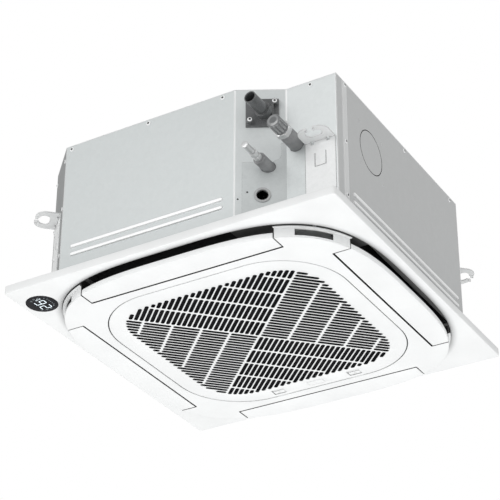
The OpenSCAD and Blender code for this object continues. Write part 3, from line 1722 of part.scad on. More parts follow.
// Display: black lens in the panel frame, housing behind it and the lit digits.
module display_housing() {
  cup_h = 15;
  cup_wall = 2;
  flange = 4;
  color([0.9, 0.9, 0.9]) translate([display_x, display_y, 0]) {
    slab(panel_z + wall - fine, panel_z + wall) circle(r = display_r);
    slab(panel_z + wall, panel_z + wall + cup_wall) circle(r = display_r + flange);
    slab(panel_z + wall, panel_z + wall + cup_h) difference() {
      circle(r = display_r);
      circle(r = display_r - cup_wall);
    }
    slab(panel_z + wall + cup_h - cup_wall, panel_z + wall + cup_h) circle(r = display_r);
  }
}
lens_z = panel_z - thin;
module display_lens() {
  color([0.02, 0.02, 0.025]) translate([display_x, display_y, 0])
    slab(lens_z, panel_z + wall - fine) circle(r = display_r);
}

// Segment patterns in the order top, upper right, lower right, bottom, lower left, upper left, middle.
digit_two = [1, 1, 0, 1, 1, 0, 1];
digit_six = [1, 0, 1, 1, 1, 1, 1];
digit_t = 0.3;
module digit(on) {
  w = digit_w - segment_w;
  h = (digit_h - segment_w) / 2;
  places = [[0, h, 0], [w / 2, h / 2, 1], [w / 2, -h / 2, 1], [0, -h, 0],
       [-w / 2, -h / 2, 1], [-w / 2, h / 2, 1], [0, 0, 0]];
  for (i = [0 : 6]) if (on[i] == 1)
    translate([places[i][0], places[i][1]])
      if (places[i][2] == 1) square([segment_w, h + segment_w], center = true);
      else square([w + segment_w, segment_w], center = true);
}
module display_digits() {
  color([0.9, 0.95, 1]) translate([display_x, display_y, 0]) slab(lens_z - digit_t, lens_z)
    rotate(quarter) scale([-1, 1]) {
      translate([-digit_w * 2 / 3, 0]) digit(digit_two);
      translate([digit_w * 2 / 3, 0]) digit(digit_six);
    }
}

top_plate();
front_panel();
right_panel();
back_panel();
left_panel();
corner_plates();
pipe_corner_panel();
pipe_cover_plate();
cable_grommet();
casing_screws();
hanger_brackets();
foam_liner();
coil_fins();
coil_end_plates();
coil_bends();
gas_pipe();
gas_nut_ring();
gas_cap();
gas_sleeve();
liquid_pipe();
liquid_union();
liquid_cap();
liquid_sleeve();
drain_socket();
drain_hose();
drain_pump();
pump_wheel();
float_switch();
float_body();
drain_pan();
bell_mouth();
fan_impeller();
motor_body();
motor_mounts();
motor_studs();
motor_shaft();
fan_nut();
control_box();
control_cover();
control_board();
terminal_block();
panel_frame();
centre_frame();
hinge_pins();
outlet_foam();
panel_seal();
panel_screws();
vane_front();
vane_right();
vane_back();
vane_left();
vane_motors();
intake_grille();
grille_cover();
latch_left();
latch_right();
air_filter();
display_housing();
display_lens();
display_digits();
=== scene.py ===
import math

import bmesh
import bpy
import numpy as np
from mathutils import Matrix, Vector
from mathutils.geometry import delaunay_2d_cdt


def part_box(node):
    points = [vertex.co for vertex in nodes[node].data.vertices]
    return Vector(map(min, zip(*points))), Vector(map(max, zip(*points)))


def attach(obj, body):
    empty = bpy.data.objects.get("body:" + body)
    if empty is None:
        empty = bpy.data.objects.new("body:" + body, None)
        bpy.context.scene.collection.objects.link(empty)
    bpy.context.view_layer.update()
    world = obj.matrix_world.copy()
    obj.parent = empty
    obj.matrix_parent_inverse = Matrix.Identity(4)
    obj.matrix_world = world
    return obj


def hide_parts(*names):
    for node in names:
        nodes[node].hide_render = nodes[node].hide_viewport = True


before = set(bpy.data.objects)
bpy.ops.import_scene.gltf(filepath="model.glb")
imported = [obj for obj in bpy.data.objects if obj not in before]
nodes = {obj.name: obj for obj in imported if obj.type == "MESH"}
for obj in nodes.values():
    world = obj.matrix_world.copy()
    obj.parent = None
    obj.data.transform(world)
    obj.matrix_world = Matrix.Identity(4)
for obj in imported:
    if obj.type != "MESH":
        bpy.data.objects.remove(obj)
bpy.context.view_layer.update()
rng = np.random.default_rng(7)


# Camera at the photograph's place: right of the pipe side, below the panel, looking up.
cameraSet = {"place": (2.0663, -3.5713, -2.4543), "yaw": 30.4, "pitch": 30.72, "roll": 0.12,
             "lens": 128.75, "sensor": 36.0, "clip": (0.05, 200.0)}


def linked(name, data):
    # A new object in the scene that shows the data.
    ob = bpy.data.objects.new(name, data)
    bpy.context.scene.collection.objects.link(ob)
    return ob


def makeCamera(s):
    cam = bpy.data.cameras.new("photoCamera")
    cam.lens = s["lens"]
    cam.sensor_width = s["sensor"]
    cam.sensor_fit = "HORIZONTAL"
    cam.clip_start, cam.clip_end = s["clip"]
    ob = linked("photoCamera", cam)
    ob.matrix_world = Matrix.Translation(s["place"])
    for axis, degrees in (("Z", s["yaw"]), ("X", 90 + s["pitch"]), ("Z", s["roll"])):
        ob.matrix_world @= Matrix.Rotation(math.radians(degrees), 4, axis)
    bpy.context.scene.camera = ob


makeCamera(cameraSet)
print("camera done")


# Shader building: one call makes a node, sets it and wires its inputs.
def feed(tree, made, sockets):
    # Gives each input, by name or number, a link from another node's output or a plain value; one number
    # given for a colour is a grey.
    for key, value in sockets.items():
        if isinstance(value, bpy.types.NodeSocket):
            tree.links.new(value, made.inputs[key])
            continue
        if made.inputs[key].type == "RGBA":
            value = (*value, 1.0) if isinstance(value, tuple) else (value, value, value, 1.0)
        made.inputs[key].default_value = value
    return made


def node(tree, kind, sockets=(), **settings):
    made = tree.nodes.new(kind)
    for key, value in settings.items():
        setattr(made, key, value)
    return feed(tree, made, dict(sockets))


def mathOf(tree, operation, *values, **settings):
    # One step of arithmetic on numbers or outputs.
    return node(tree, "ShaderNodeMath", enumerate(values), operation=operation, **settings).outputs[0]


def vectorOf(tree, operation, first, second=(0, 0, 0)):
    made = node(tree, "ShaderNodeVectorMath", {0: first, 1: second}, operation=operation)
    return made.outputs["Value" if operation in ("DOT_PRODUCT", "DISTANCE") else "Vector"]


def layColor(tree, mask, below, above):
    # Lays one colour over another where the mask is one.
    return node(tree, "ShaderNodeMix", {0: mask, 6: below, 7: above}, data_type="RGBA").outputs[2]


# Stage: white surround, a pale floor far below, soft area lights.
stageSet = {"floorZ": -3.6, "floorHalf": 14.0, "floorColor": 0.86, "surround": 1.0, "ambient": 0.55,
            "glossy": 0.62,
            "lamps": {"keyLight": ((-1.2, -6.5, 1.2), (4.5, 3.5), 165),
                      "rightLight": ((6.5, 0.6, 0.6), (4.0, 3.0), 75),
                      "lowLight": ((0.0, 0.1, -3.3), (5.0, 5.0), 102)}}


def areaLight(name, place, size, power):
    # A soft lamp that faces the middle of the unit and stays out of the picture.
    lamp = bpy.data.lights.new(name, "AREA")
    lamp.shape = "RECTANGLE"
    lamp.size, lamp.size_y = size
    lamp.energy = power
    ob = linked(name, lamp)
    aim = -Vector(place)
    ob.matrix_world = Matrix.Translation(Vector(place)) @ aim.to_track_quat("-Z", "Y").to_matrix().to_4x4()
    ob.visible_camera = False


def makeSurround(s):
    # White where the camera looks past the unit, dimmer as a light on it.
    world = bpy.data.worlds.new("studio")
    bpy.context.scene.world = world
    world.use_nodes = True
    t = world.node_tree
    t.nodes.clear()
    path = node(t, "ShaderNodeLightPath").outputs
    seen = mathOf(t, "MAXIMUM", path["Is Camera Ray"], path["Is Transmission Ray"])
    level = node(t, "ShaderNodeMapRange", {"Value": path["Is Glossy Ray"], "To Min": s["ambient"],
                                           "To Max": s["glossy"]})
    dim = node(t, "ShaderNodeBackground", {"Color": s["surround"], "Strength": level.outputs["Result"]})
    white = node(t, "ShaderNodeBackground", {"Color": s["surround"], "Strength": 1.0})
    mix = node(t, "ShaderNodeMixShader", {0: seen, 1: dim.outputs[0], 2: white.outputs[0]})
    node(t, "ShaderNodeOutputWorld", {"Surface": mix.outputs[0]})


def makeFloor(s):
    # Clear from below, so that the camera under it sees through.
    h, z = s["floorHalf"], s["floorZ"]
    mesh = bpy.data.meshes.new("studioFloor")
    mesh.from_pydata([(-h, -h, z), (h, -h, z), (h, h, z), (-h, h, z)], [], [(0, 1, 2, 3)])
    mat = bpy.data.materials.new("studioFloor")
    mat.use_nodes = True
    t = mat.node_tree
    t.nodes.clear()
    side = node(t, "ShaderNodeNewGeometry")
    body = node(t, "ShaderNodeBsdfDiffuse", {"Color": s["floorColor"]})
    clear = node(t, "ShaderNodeBsdfTransparent")
    mix = node(t, "ShaderNodeMixShader", {0: side.outputs["Backfacing"], 1: body.outputs[0],
                                          2: clear.outputs[0]})
    node(t, "ShaderNodeOutputMaterial", {"Surface": mix.outputs[0]})
    mesh.materials.append(mat)
    floor = linked("studioFloor", mesh)


makeSurround(stageSet)
makeFloor(stageSet)
for name, (place, size, power) in stageSet["lamps"].items():
    areaLight(name, place, size, power)
bpy.context.scene.view_settings.view_transform = "Standard"
print("stage done")


# Shared node groups. Each one gives a mask or a tone from object coordinates.
def newGroup(name, inputs, outputs):
    g = bpy.data.node_groups.new(name, "ShaderNodeTree")
    for label, value in inputs.items():
        socket = g.interface.new_socket(name=label, in_out="INPUT", socket_type="NodeSocketFloat")
        socket.default_value = value
    for label, kind in outputs.items():
        g.interface.new_socket(name=label, in_out="OUTPUT", socket_type=kind)
    return g, node(g, "NodeGroupInput").outputs


def groupNoise(name):
    # Noise remapped to a mask: mask = clamp((noise - low) / (high - low)).
    g, given = newGroup(name, {"Scale": 20.0, "Low": 0.4, "High": 0.6}, {"Mask": "NodeSocketFloat"})
    place = node(g, "ShaderNodeTexCoord").outputs["Object"]
    noise = node(g, "ShaderNodeTexNoise", {"Vector": place, "Scale": given["Scale"], "Detail": 4.0})
    mask = node(g, "ShaderNodeMapRange", {"Value": noise.outputs["Fac"], "From Min": given["Low"],
                                          "From Max": given["High"]})
    node(g, "NodeGroupOutput", {"Mask": mask.outputs["Result"]})
    return g


def groupEdge(name):
    # Edge mask: how far the bevelled normal leans from the face normal, times the gain.
    g, given = newGroup(name, {"Radius": 0.0015, "Gain": 3.0},
                        {"Mask": "NodeSocketFloat", "Normal": "NodeSocketVector"})
    bevel = node(g, "ShaderNodeBevel", {"Radius": given["Radius"]}, samples=6).outputs["Normal"]
    agree = vectorOf(g, "DOT_PRODUCT", bevel, node(g, "ShaderNodeNewGeometry").outputs["True Normal"])
    mask = mathOf(g, "MULTIPLY", mathOf(g, "SUBTRACT", 1.0, agree), given["Gain"], use_clamp=True)
    node(g, "NodeGroupOutput", {"Mask": mask, "Normal": bevel})
    return g


def groupSpangle(name):
    # Zinc crystals: cells of slightly different tone, with a finer set inside.
    g, given = newGroup(name, {"Scale": 70.0}, {"Tone": "NodeSocketFloat"})
    place = node(g, "ShaderNodeTexCoord").outputs["Object"]
    fineScale = mathOf(g, "MULTIPLY", given["Scale"], 2.7)
    cells = [node(g, "ShaderNodeTexVoronoi", {"Vector": place, "Scale": scale}, feature="F1").outputs["Color"]
             for scale in (given["Scale"], fineScale)]
    tone = node(g, "ShaderNodeRGBToBW", {0: layColor(g, 0.4, *cells)})
    node(g, "NodeGroupOutput", {"Tone": tone.outputs[0]})
    return g


noiseGroup = groupNoise("noiseMask")
edgeGroup = groupEdge("edgeMask")
spangleGroup = groupSpangle("zincSpangle")


# Marks that only some finishes have, all painted light and shade; each takes the colour so far and gives it
# back with the mark on it.
glint = (0.98, 0.99, 0.99)


def farFrom(t, place, keep, centre):
    # Distance from a line: the direction that keep leaves out doesn't count.
    return vectorOf(t, "DISTANCE", vectorOf(t, "MULTIPLY", place, keep), centre)


def scoreRing(t, place, color, s):
    # Painted shade in the knock-out's score line: dark on the side face where the distance from an axis along
    # X is near the radius.
    far = farFrom(t, place, (0, 1, 1), (0, s["y"], s["z"]))
    return layColor(t, mathOf(t, "COMPARE", far, s["radius"], s["width"]), color, 0.03)


def foldGlow(t, place, color, x, y, width):
    # Light catching a fold: bright within a width of an upright line.
    far = farFrom(t, place, (1, 1, 0), (x, y, 0))
    fade = node(t, "ShaderNodeMapRange", {"Value": far, "From Max": width, "To Min": 1.0, "To Max": 0.0},
                interpolation_type="SMOOTHSTEP")
    return layColor(t, fade.outputs["Result"], color, glint)


def ribCrest(t, place, color, direction, start, height):
    # Painted highlight on pressed ribs: brighter with height above the sheet, measured along one direction.
    lift = node(t, "ShaderNodeMapRange", {"Value": vectorOf(t, "DOT_PRODUCT", place, direction),
                                          "From Min": start, "From Max": start + height})
    return layColor(t, lift.outputs["Result"], color, glint)


def vaneGaps(t, place, color, s):
    # Painted shade in the gaps at the vanes and deep in the outlets. With far = max(|x|, |y|) and near =
    # min(|x|, |y|): dark along the hinge line up to the vane's end, and along the vane's end beyond the hinge
    # line; grey deep in the outlets, where |z| is short of the depth.
    size = node(t, "ShaderNodeSeparateXYZ", {0: vectorOf(t, "ABSOLUTE", place)}).outputs
    far, near = (mathOf(t, k, size["X"], size["Y"]) for k in ("MAXIMUM", "MINIMUM"))
    outside = mathOf(t, "GREATER_THAN", far, s["hinge"])
    along = mathOf(t, "MULTIPLY", mathOf(t, "COMPARE", far, s["hinge"], s["width"]),
                   mathOf(t, "LESS_THAN", near, s["end"]))
    across = mathOf(t, "MULTIPLY", mathOf(t, "COMPARE", near, s["end"], s["width"]), outside)
    deep = mathOf(t, "MULTIPLY", mathOf(t, "LESS_THAN", size["Z"], s["depth"]), outside)
    color = layColor(t, deep, color, 0.2)
    return layColor(t, mathOf(t, "MAXIMUM", along, across), color, 0.05)


# What a finish has unless its own entry below says otherwise.
usualLook = {"metallic": 0.0, "ior": 1.46, "specular": 0.5, "patchScale": 9.0, "edgeRadius": 0.0012,
             "edgeGain": 2.0, "edgeNoiseScale": 160.0, "edgeNoiseLow": 0.42, "soilScale": 3.0,
             "soilColor": (0.35, 0.34, 0.32), "stretch": (1, 1, 1), "grain": 700.0, "bump": 0.15,
             "bumpDepth": 0.0002}


def material(name, look):
    # Base colour varies between two tones by noise or crystals and takes an edge tone, soil and marks; the
    # edge tone is worn edges on most finishes, a painted highlight on the zinc, nut and cap finishes and
    # painted shade on the hanger. Roughness follows a finer noise and a low bump gives the surface its grain.
    s = {**usualLook, **look}
    mat = bpy.data.materials.new(name)
    mat.use_nodes = True
    t = mat.node_tree
    place = node(t, "ShaderNodeTexCoord").outputs["Object"]

    def cloud(scale, low, high):
        return node(t, "ShaderNodeGroup", {"Scale": scale, "Low": low, "High": high},
                    node_tree=noiseGroup).outputs["Mask"]

    if "spangle" in s:
        patch = node(t, "ShaderNodeGroup", {"Scale": s["spangle"]}, node_tree=spangleGroup).outputs["Tone"]
    else:
        patch = cloud(s["patchScale"], 0.35, 0.65)
    color = layColor(t, patch, s["dark"], s["light"])
    edge = node(t, "ShaderNodeGroup", {"Radius": s["edgeRadius"], "Gain": s["edgeGain"]},
                node_tree=edgeGroup).outputs
    # Edge tone in patches: wear, painted highlights and painted shade along the edges, as each finish asks.
    edgeWearAndLight = mathOf(t, "MULTIPLY", edge["Mask"], cloud(s["edgeNoiseScale"], s["edgeNoiseLow"], s["edgeNoiseLow"] + 0.2),
                  use_clamp=True)
    color = layColor(t, edgeWearAndLight, color, s["edge"])
    if "soil" in s:
        dirt = mathOf(t, "MULTIPLY", cloud(s["soilScale"], 0.5, 0.8), s["soil"])
        color = layColor(t, dirt, color, s["soilColor"])
    if "ring" in s:
        color = scoreRing(t, place, color, s["ring"])
    for fold in s.get("folds", ()):
        color = foldGlow(t, place, color, *fold)
    if "proud" in s:
        color = ribCrest(t, place, color, *s["proud"])
    if "gapShade" in s:
        color = vaneGaps(t, place, color, s["gapShade"])
    if "shadeColor" in s:  # parts of a piece that its own point attribute names
        given = node(t, "ShaderNodeAttribute", attribute_name="shade").outputs["Fac"]
        color = layColor(t, given, color, s["shadeColor"])
    drawn = node(t, "ShaderNodeMapping", {"Vector": place, "Scale": s["stretch"]}).outputs["Vector"]
    fine = node(t, "ShaderNodeTexNoise", {"Vector": drawn, "Scale": s["grain"], "Detail": 3.0}).outputs["Fac"]
    low, high = s["rough"]
    rough = node(t, "ShaderNodeMapRange", {"Value": fine, "To Min": low, "To Max": high}).outputs["Result"]
    bump = node(t, "ShaderNodeBump", {"Strength": s["bump"], "Distance": s["bumpDepth"], "Height": fine,
                                      "Normal": edge["Normal"]}).outputs["Normal"]
    feed(t, t.nodes["Principled BSDF"],
         {"Base Color": color, "Roughness": rough, "Normal": bump, "Metallic": s["metallic"],
          "IOR": s["ior"], "Specular IOR Level": s["specular"]})
    return mat


looks = {
    # Zinc sheet: its edge tone is a painted highlight along every edge and fold.
    "zinc": {"dark": (0.59, 0.62, 0.62), "light": (0.62, 0.65, 0.65), "edge": glint,
             "metallic": 0.35, "rough": (0.36, 0.5), "spangle": 75.0, "grain": 500.0, "edgeNoiseLow": -0.1,
             "edgeRadius": 0.003, "edgeGain": 6.0, "stretch": (1, 1, 0.08), "bump": 0.05, "soil": 0.03},
    # Hanger brackets: lighter than the zinc sheet as painted light, with painted shade as a dark line along
    # their edges.
    "hanger": {"dark": (0.84, 0.85, 0.85), "light": (0.92, 0.93, 0.93), "edge": 0.2,
               "metallic": 0.1, "rough": (0.25, 0.4), "spangle": 110.0, "bump": 0.06, "edgeNoiseLow": 0.1,
               "edgeRadius": 0.0014, "edgeGain": 6.0},
    # Screws: near-white heads as a painted highlight, with painted shade in the recess and the middle of each
    # head from the shade attribute.
    "screw": {"dark": (0.93, 0.94, 0.94), "light": (0.97, 0.98, 0.98), "edge": 0.98,
              "rough": (0.22, 0.4), "patchScale": 60.0, "bump": 0.05, "shadeColor": 0.03},
    "white": {"dark": (0.80, 0.81, 0.81), "light": (0.84, 0.85, 0.85), "edge": (0.88, 0.89, 0.89),
              "rough": (0.34, 0.46), "grain": 900.0, "bump": 0.08, "bumpDepth": 0.0001,
              "soil": 0.03, "edgeRadius": 0.0018, "shadeColor": 0.05},
    "glass": {"dark": (0.006, 0.006, 0.008), "light": (0.012, 0.012, 0.015), "edge": 0.05,
              "rough": (0.1, 0.16), "specular": 0.2, "bump": 0.01},
    "copper": {"dark": (0.48, 0.2, 0.1), "light": (0.72, 0.36, 0.22), "edge": (0.85, 0.5, 0.34),
               "metallic": 1.0, "rough": (0.25, 0.42), "patchScale": 30.0, "bump": 0.08, "soil": 0.2,
               "soilColor": (0.2, 0.1, 0.06)},
    "fins": {"dark": (0.6, 0.62, 0.64), "light": (0.72, 0.74, 0.76), "edge": (0.85, 0.86, 0.87),
             "metallic": 0.8, "rough": (0.3, 0.45), "grain": 300.0, "stretch": (1, 1, 0.05), "bump": 0.2},
    "rubber": {"dark": (0.015, 0.015, 0.016), "light": (0.03, 0.03, 0.031), "edge": 0.09,
               "rough": (0.6, 0.8), "grain": 600.0, "bump": 0.3},
    "pipeFoam": {"dark": (0.23, 0.234, 0.238), "light": (0.33, 0.335, 0.34), "edge": (0.46, 0.46, 0.465),
                 "rough": (0.7, 0.9), "grain": 420.0, "bump": 0.6, "bumpDepth": 0.0006, "patchScale": 40.0},
    "panFoam": {"dark": (0.05, 0.051, 0.053), "light": (0.075, 0.077, 0.08), "edge": 0.13,
                "rough": (0.75, 0.9), "grain": 350.0, "bump": 0.5, "bumpDepth": 0.0005},
    "lining": {"dark": (0.03, 0.031, 0.032), "light": (0.045, 0.046, 0.048), "edge": 0.09,
               "rough": (0.75, 0.9), "grain": 380.0, "bump": 0.5, "bumpDepth": 0.0005},
    "midPlastic": {"dark": (0.09, 0.094, 0.096), "light": (0.13, 0.134, 0.137), "edge": 0.5,
                   "rough": (0.22, 0.34), "specular": 0.9, "grain": 800.0, "bump": 0.08},
    # Gas cap: its edge tone is a painted highlight on the edges of the flutes.
    "capPlastic": {"dark": (0.1, 0.105, 0.108), "light": (0.15, 0.156, 0.16), "edge": (0.85, 0.86, 0.86),
                   "rough": (0.14, 0.24), "specular": 0.9, "grain": 800.0, "bump": 0.1, "edgeGain": 6.0,
                   "edgeNoiseLow": 0.0, "edgeRadius": 0.0015},
    "grommet": {"dark": (0.42, 0.43, 0.43), "light": (0.5, 0.51, 0.51), "edge": 0.6,
                "rough": (0.5, 0.65), "bump": 0.2},
    "darkPlastic": {"dark": (0.06, 0.063, 0.063), "light": (0.09, 0.093, 0.093), "edge": 0.2,
                    "rough": (0.4, 0.55), "grain": 800.0, "bump": 0.12},
    "filterMesh": {"dark": (0.005, 0.005, 0.006), "light": (0.01, 0.01, 0.011), "edge": 0.03,
                   "rough": (0.8, 0.95), "specular": 0.1, "grain": 500.0, "bump": 0.4},
    # Nuts and the liquid cap: the edge tone is a painted highlight along the edges.
    "nutMetal": {"dark": (0.56, 0.57, 0.57), "light": (0.66, 0.67, 0.67), "edge": 0.95,
                 "metallic": 0.6, "edgeGain": 5.0, "edgeNoiseLow": 0.0, "rough": (0.22, 0.38),
                 "patchScale": 50.0, "bump": 0.08},
    "natural": {"dark": (0.72, 0.72, 0.68), "light": (0.78, 0.78, 0.75), "edge": (0.84, 0.84, 0.82),
                "rough": (0.42, 0.6), "bump": 0.12},
    "blue": {"dark": (0.03, 0.09, 0.3), "light": (0.05, 0.13, 0.38), "edge": (0.2, 0.3, 0.5),
             "rough": (0.4, 0.55), "bump": 0.1},
    "motorPaint": {"dark": (0.24, 0.25, 0.26), "light": (0.3, 0.31, 0.32), "edge": 0.5,
                   "metallic": 0.3, "rough": (0.35, 0.5)},
    "board": {"dark": (0.01, 0.08, 0.035), "light": (0.015, 0.12, 0.05), "edge": (0.2, 0.3, 0.2),
              "rough": (0.3, 0.5), "bump": 0.1},
}
ribHeight = 0.0011
# Copies of the zinc sheet for the faces: the side face darker as painted shade and the pipe face lighter as
# painted light; painted highlights on folds and rib crests, and painted shade in the knock-out's score line
# on the side face. The cover plate is lighter with dark edges, and the corner plates are darker with a
# painted highlight along their edges.
zincKinds = {
    "zincFront": {"folds": ((0.181, -0.435, 0.003),), "proud": ((0, -1, 0), 0.4352, ribHeight)},
    "zincSide": {"dark": (0.55, 0.56, 0.56), "light": (0.575, 0.585, 0.585),
                 "ring": {"y": -0.190, "z": 0.054, "radius": 0.060, "width": 0.0014},
                 "folds": ((0.436, -0.373, 0.004), (0.436, -0.342, 0.0025), (0.436, -0.320, 0.0025)),
                 "proud": ((1, 0, 0), 0.4356, ribHeight)},
    "zincPipe": {"dark": (0.68, 0.71, 0.71), "light": (0.72, 0.75, 0.75), "soil": 0.02,
                 "folds": ((0.181, -0.435, 0.004), (0.294, -0.373, 0.004), (0.435, -0.373, 0.004))},
    "zincCover": {"dark": (0.6, 0.63, 0.63), "light": (0.67, 0.7, 0.7), "edge": 0.16,
                  "edgeRadius": 0.0012},
    "zincCorner": {"dark": (0.26, 0.27, 0.27), "light": (0.31, 0.32, 0.32), "edge": (0.8, 0.81, 0.81),
                   "metallic": 0.4, "spangle": 60.0, "edgeGain": 5.0, "soil": 0.1},
    "zincBack": {"proud": ((0, 1, 0), 0.4352, ribHeight)},
    "zincLeft": {"proud": ((-1, 0, 0), 0.4352, ribHeight)},
}
for kind, change in zincKinds.items():
    looks[kind] = {**looks["zinc"], **change}
# The centre frame takes painted shade in the gaps at the vanes and deep in the outlets.
looks["whiteFrame"] = {**looks["white"], "gapShade": {"hinge": 0.3642, "width": 0.0012, "end": 0.2775,
                                                   "depth": 0.2325}}


def lightMaterial(name, color, strength):
    # Lit digits: emission with a slight noise in its tone.
    mat = bpy.data.materials.new(name)
    mat.use_nodes = True
    t = mat.node_tree
    patch = node(t, "ShaderNodeGroup", {"Scale": 300.0, "Low": 0.3, "High": 0.7}, node_tree=noiseGroup)
    tone = layColor(t, patch.outputs["Mask"], tuple(c * 0.9 for c in color), color)
    feed(t, t.nodes["Principled BSDF"], {"Base Color": tone, "Emission Color": tone,
                                         "Emission Strength": strength, "Roughness": 0.4})
    return mat


mats = {name: material(name, look) for name, look in looks.items()}
mats["digitLight"] = lightMaterial("digitLight", (0.8, 0.9, 0.95), 0.75)
mats["dotLight"] = lightMaterial("dotLight", (0.35, 0.4, 0.42), 0.25)
print("materials done")


# Mesh helpers. A mesh is a pair: points in millimetres and faces that count them.
def addPiece(name, mesh, look, body, replaced, sharp=35.0, shade=None):
    # Faces are turned outward here, whichever way round their grid ran.
    points, faces = mesh
    data = bpy.data.meshes.new(name)
    data.from_pydata((points / 1000.0).tolist(), [], faces)
    shell = bmesh.new()
    shell.from_mesh(data)
    bmesh.ops.recalc_face_normals(shell, faces=shell.faces)
    shell.to_mesh(data)
    shell.free()
    data.update()
    ob = linked(name, data)
    data.materials.append(mats[look])
    if shade is not None:
        values = np.asarray(shade, dtype=float)
        data.attributes.new("shade", "FLOAT", "POINT").data.foreach_set("value", values)
    data.polygons.foreach_set("use_smooth", np.ones(len(data.polygons), dtype=bool))
    data.set_sharp_from_angle(angle=math.radians(sharp))
    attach(ob, body)
    if replaced:
        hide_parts(*replaced)


def circle(n):
    return np.linspace(0, 2 * math.pi, n, endpoint=False)


def arc(cx, cy, r, a0, a1, n):
    a = np.radians(np.linspace(a0, a1, n))
    return np.stack([cx + r * np.cos(a), cy + r * np.sin(a)], axis=1)


def disc(cx, cy, r, n):
    # Outline of a disc: a whole turn of an arc, less the point that would come twice.
    return arc(cx, cy, r, 0, 360, n + 1)[:-1]


def atHeight(loop, z):
    # A flat loop lifted to one height.
    return np.column_stack([loop, np.full(len(loop), z)])


def gridFaces(rows, cols, closeRows=False, closeCols=False, base=0):
    # Quads of a grid whose point (i, j) has index i * cols + j.
    i = np.arange(rows if closeRows else rows - 1)[:, None]
    j = np.arange(cols if closeCols else cols - 1)[None, :]
    down, right = (i + 1) % rows, (j + 1) % cols
    quads = np.broadcast_arrays(i * cols + j, i * cols + right, down * cols + right, down * cols + j)
    return (np.stack(quads, axis=-1).reshape(-1, 4) + base).tolist()


def stack(rings):
    # Closed solid through equal rings: a grid round the sides and a flat face at each end.
    n, last = len(rings[0]), (len(rings) - 1) * len(rings[0])
    faces = gridFaces(len(rings), n, closeCols=True)
    return np.vstack(rings), faces + [tuple(range(n))[::-1], tuple(range(last, last + n))]


def torus(rings):
    # Closed solid through equal rings whose last joins the first.
    return np.vstack(rings), gridFaces(len(rings), len(rings[0]), closeRows=True, closeCols=True)


def pointed(rings, tip, tail):
    # Closed solid through equal rings with a fan of triangles to a point at each end.
    n, last = len(rings[0]), 1 + (len(rings) - 1) * len(rings[0])
    faces = [(0, 1 + (j + 1) % n, 1 + j) for j in range(n)] + gridFaces(len(rings), n, closeCols=True, base=1)
    faces += [(last + j, last + (j + 1) % n, last + n) for j in range(n)]
    return np.vstack([[tip], *rings, [tail]]), faces


def merge(parts):
    # Joins meshes into one.
    points, faces, n = [], [], 0
    for p, f in parts:
        points.append(p)
        faces += [tuple(k + n for k in q) for q in f]
        n += len(p)
    return np.vstack(points), faces


def turned(points, degrees):
    # Points, or a flat loop, turned about Z.
    a, out = math.radians(degrees), np.array(points, dtype=float)
    out[:, :2] = out[:, :2] @ np.array([[math.cos(a), math.sin(a)], [-math.sin(a), math.cos(a)]])
    return out


def drawnIn(loop, length):
    # Moves each point of a loop towards its middle by a length.
    way = loop.mean(axis=0) - loop
    return loop + way * np.minimum(1.0, length / np.maximum(1e-6, np.linalg.norm(way, axis=1)))[:, None]


def roundRectLoop(x, y, w, h, r, d, n=5):
    # Rectangle about (x, y) with rounded corners, grown by d.
    hw, hh, q = w / 2 + d, h / 2 + d, r + d
    corners = ((hw - q, hh - q), (q - hw, hh - q), (q - hw, q - hh), (hw - q, q - hh))
    return np.vstack([arc(x + u, y + v, q, 90 * k, 90 * k + 90, n) for k, (u, v) in enumerate(corners)])


def superOutline(size, angles, power):
    # Rounded square: radius = size / (|cos|^p + |sin|^p)^(1/p).
    c, s = np.cos(angles), np.sin(angles)
    r = size / (np.abs(c) ** power + np.abs(s) ** power) ** (1 / power)
    return np.stack([r * c, r * s], axis=1)


def outwardNormals(loop):
    # Normals of a counterclockwise loop from the chord through its neighbours.
    d = np.roll(loop, -1, axis=0) - np.roll(loop, 1, axis=0)
    n = np.stack([d[:, 1], -d[:, 0]], axis=1)
    return n / np.linalg.norm(n, axis=1)[:, None]


# Heights and outlines shared by the panel pieces, in millimetres; the outlines are rounded squares.
panelZ = -235.0
ceilingZ = -213.0
discZ = -264.3
ringHalf = 446.0
discHalf = 440.0
discPower = 3.5


# Vane: hinge barrel, flat blade and rolled outer lip, swept along the curved outer edge.
vaneSet = {"barrelX": 373.5, "barrelZ": 7.5, "barrelR": 5.0, "barrelArc": (-64, 244), "inner": 368.0,
           "innerR": 1.2, "half": 275.0, "thick": 3.0, "lip": 15.0, "roll": 1.6, "cove": 3.0,
           "stations": 97, "endRoll": 0.7, "pinR": 2.5, "pinFrom": 274.0, "pinEnds": (-280.2, 288.2),
           "darkTo": (379.5, 0.3)}


def vaneSection(s, outer):
    # Closed section, counterclockwise seen with plus X outward and plus Z up.
    t, q, c, r = s["thick"], s["roll"], s["cove"], s["innerR"]
    return np.vstack([arc(outer - q, q, q, -90, 0, 6),
                      arc(outer - t / 2, s["lip"] - t / 2, t / 2, 0, 180, 7),
                      arc(outer - t - c, t + c, c, 0, -90, 5),
                      arc(s["barrelX"], s["barrelZ"], s["barrelR"], *s["barrelArc"], 25),
                      arc(s["inner"] + r, r, r, 90, 270, 7)])


def vaneMesh(s):
    # Stations along Y, closer together near the ends; the outer edge keeps to the disc's outline, and the
    # end sections are drawn in. The barrel carries the dark shade.
    rings, shade = [], []
    for y in s["half"] * np.sin(np.linspace(-math.pi / 2, math.pi / 2, s["stations"])):
        outer = discHalf * (1 - (abs(y) / discHalf) ** discPower) ** (1 / discPower)
        near = max(0.0, abs(y) - (s["half"] - s["endRoll"])) / s["endRoll"]
        shrink = s["endRoll"] * (1 - math.sqrt(max(0.0, 1 - near * near))) / 2
        section = drawnIn(vaneSection(s, outer), shrink)
        x, z = section.T
        rings.append(np.column_stack([x, np.full(len(x), y), z + discZ]))
        shade.append((x < s["darkTo"][0]) & (z > s["darkTo"][1]))
    return stack(rings), np.concatenate(shade)


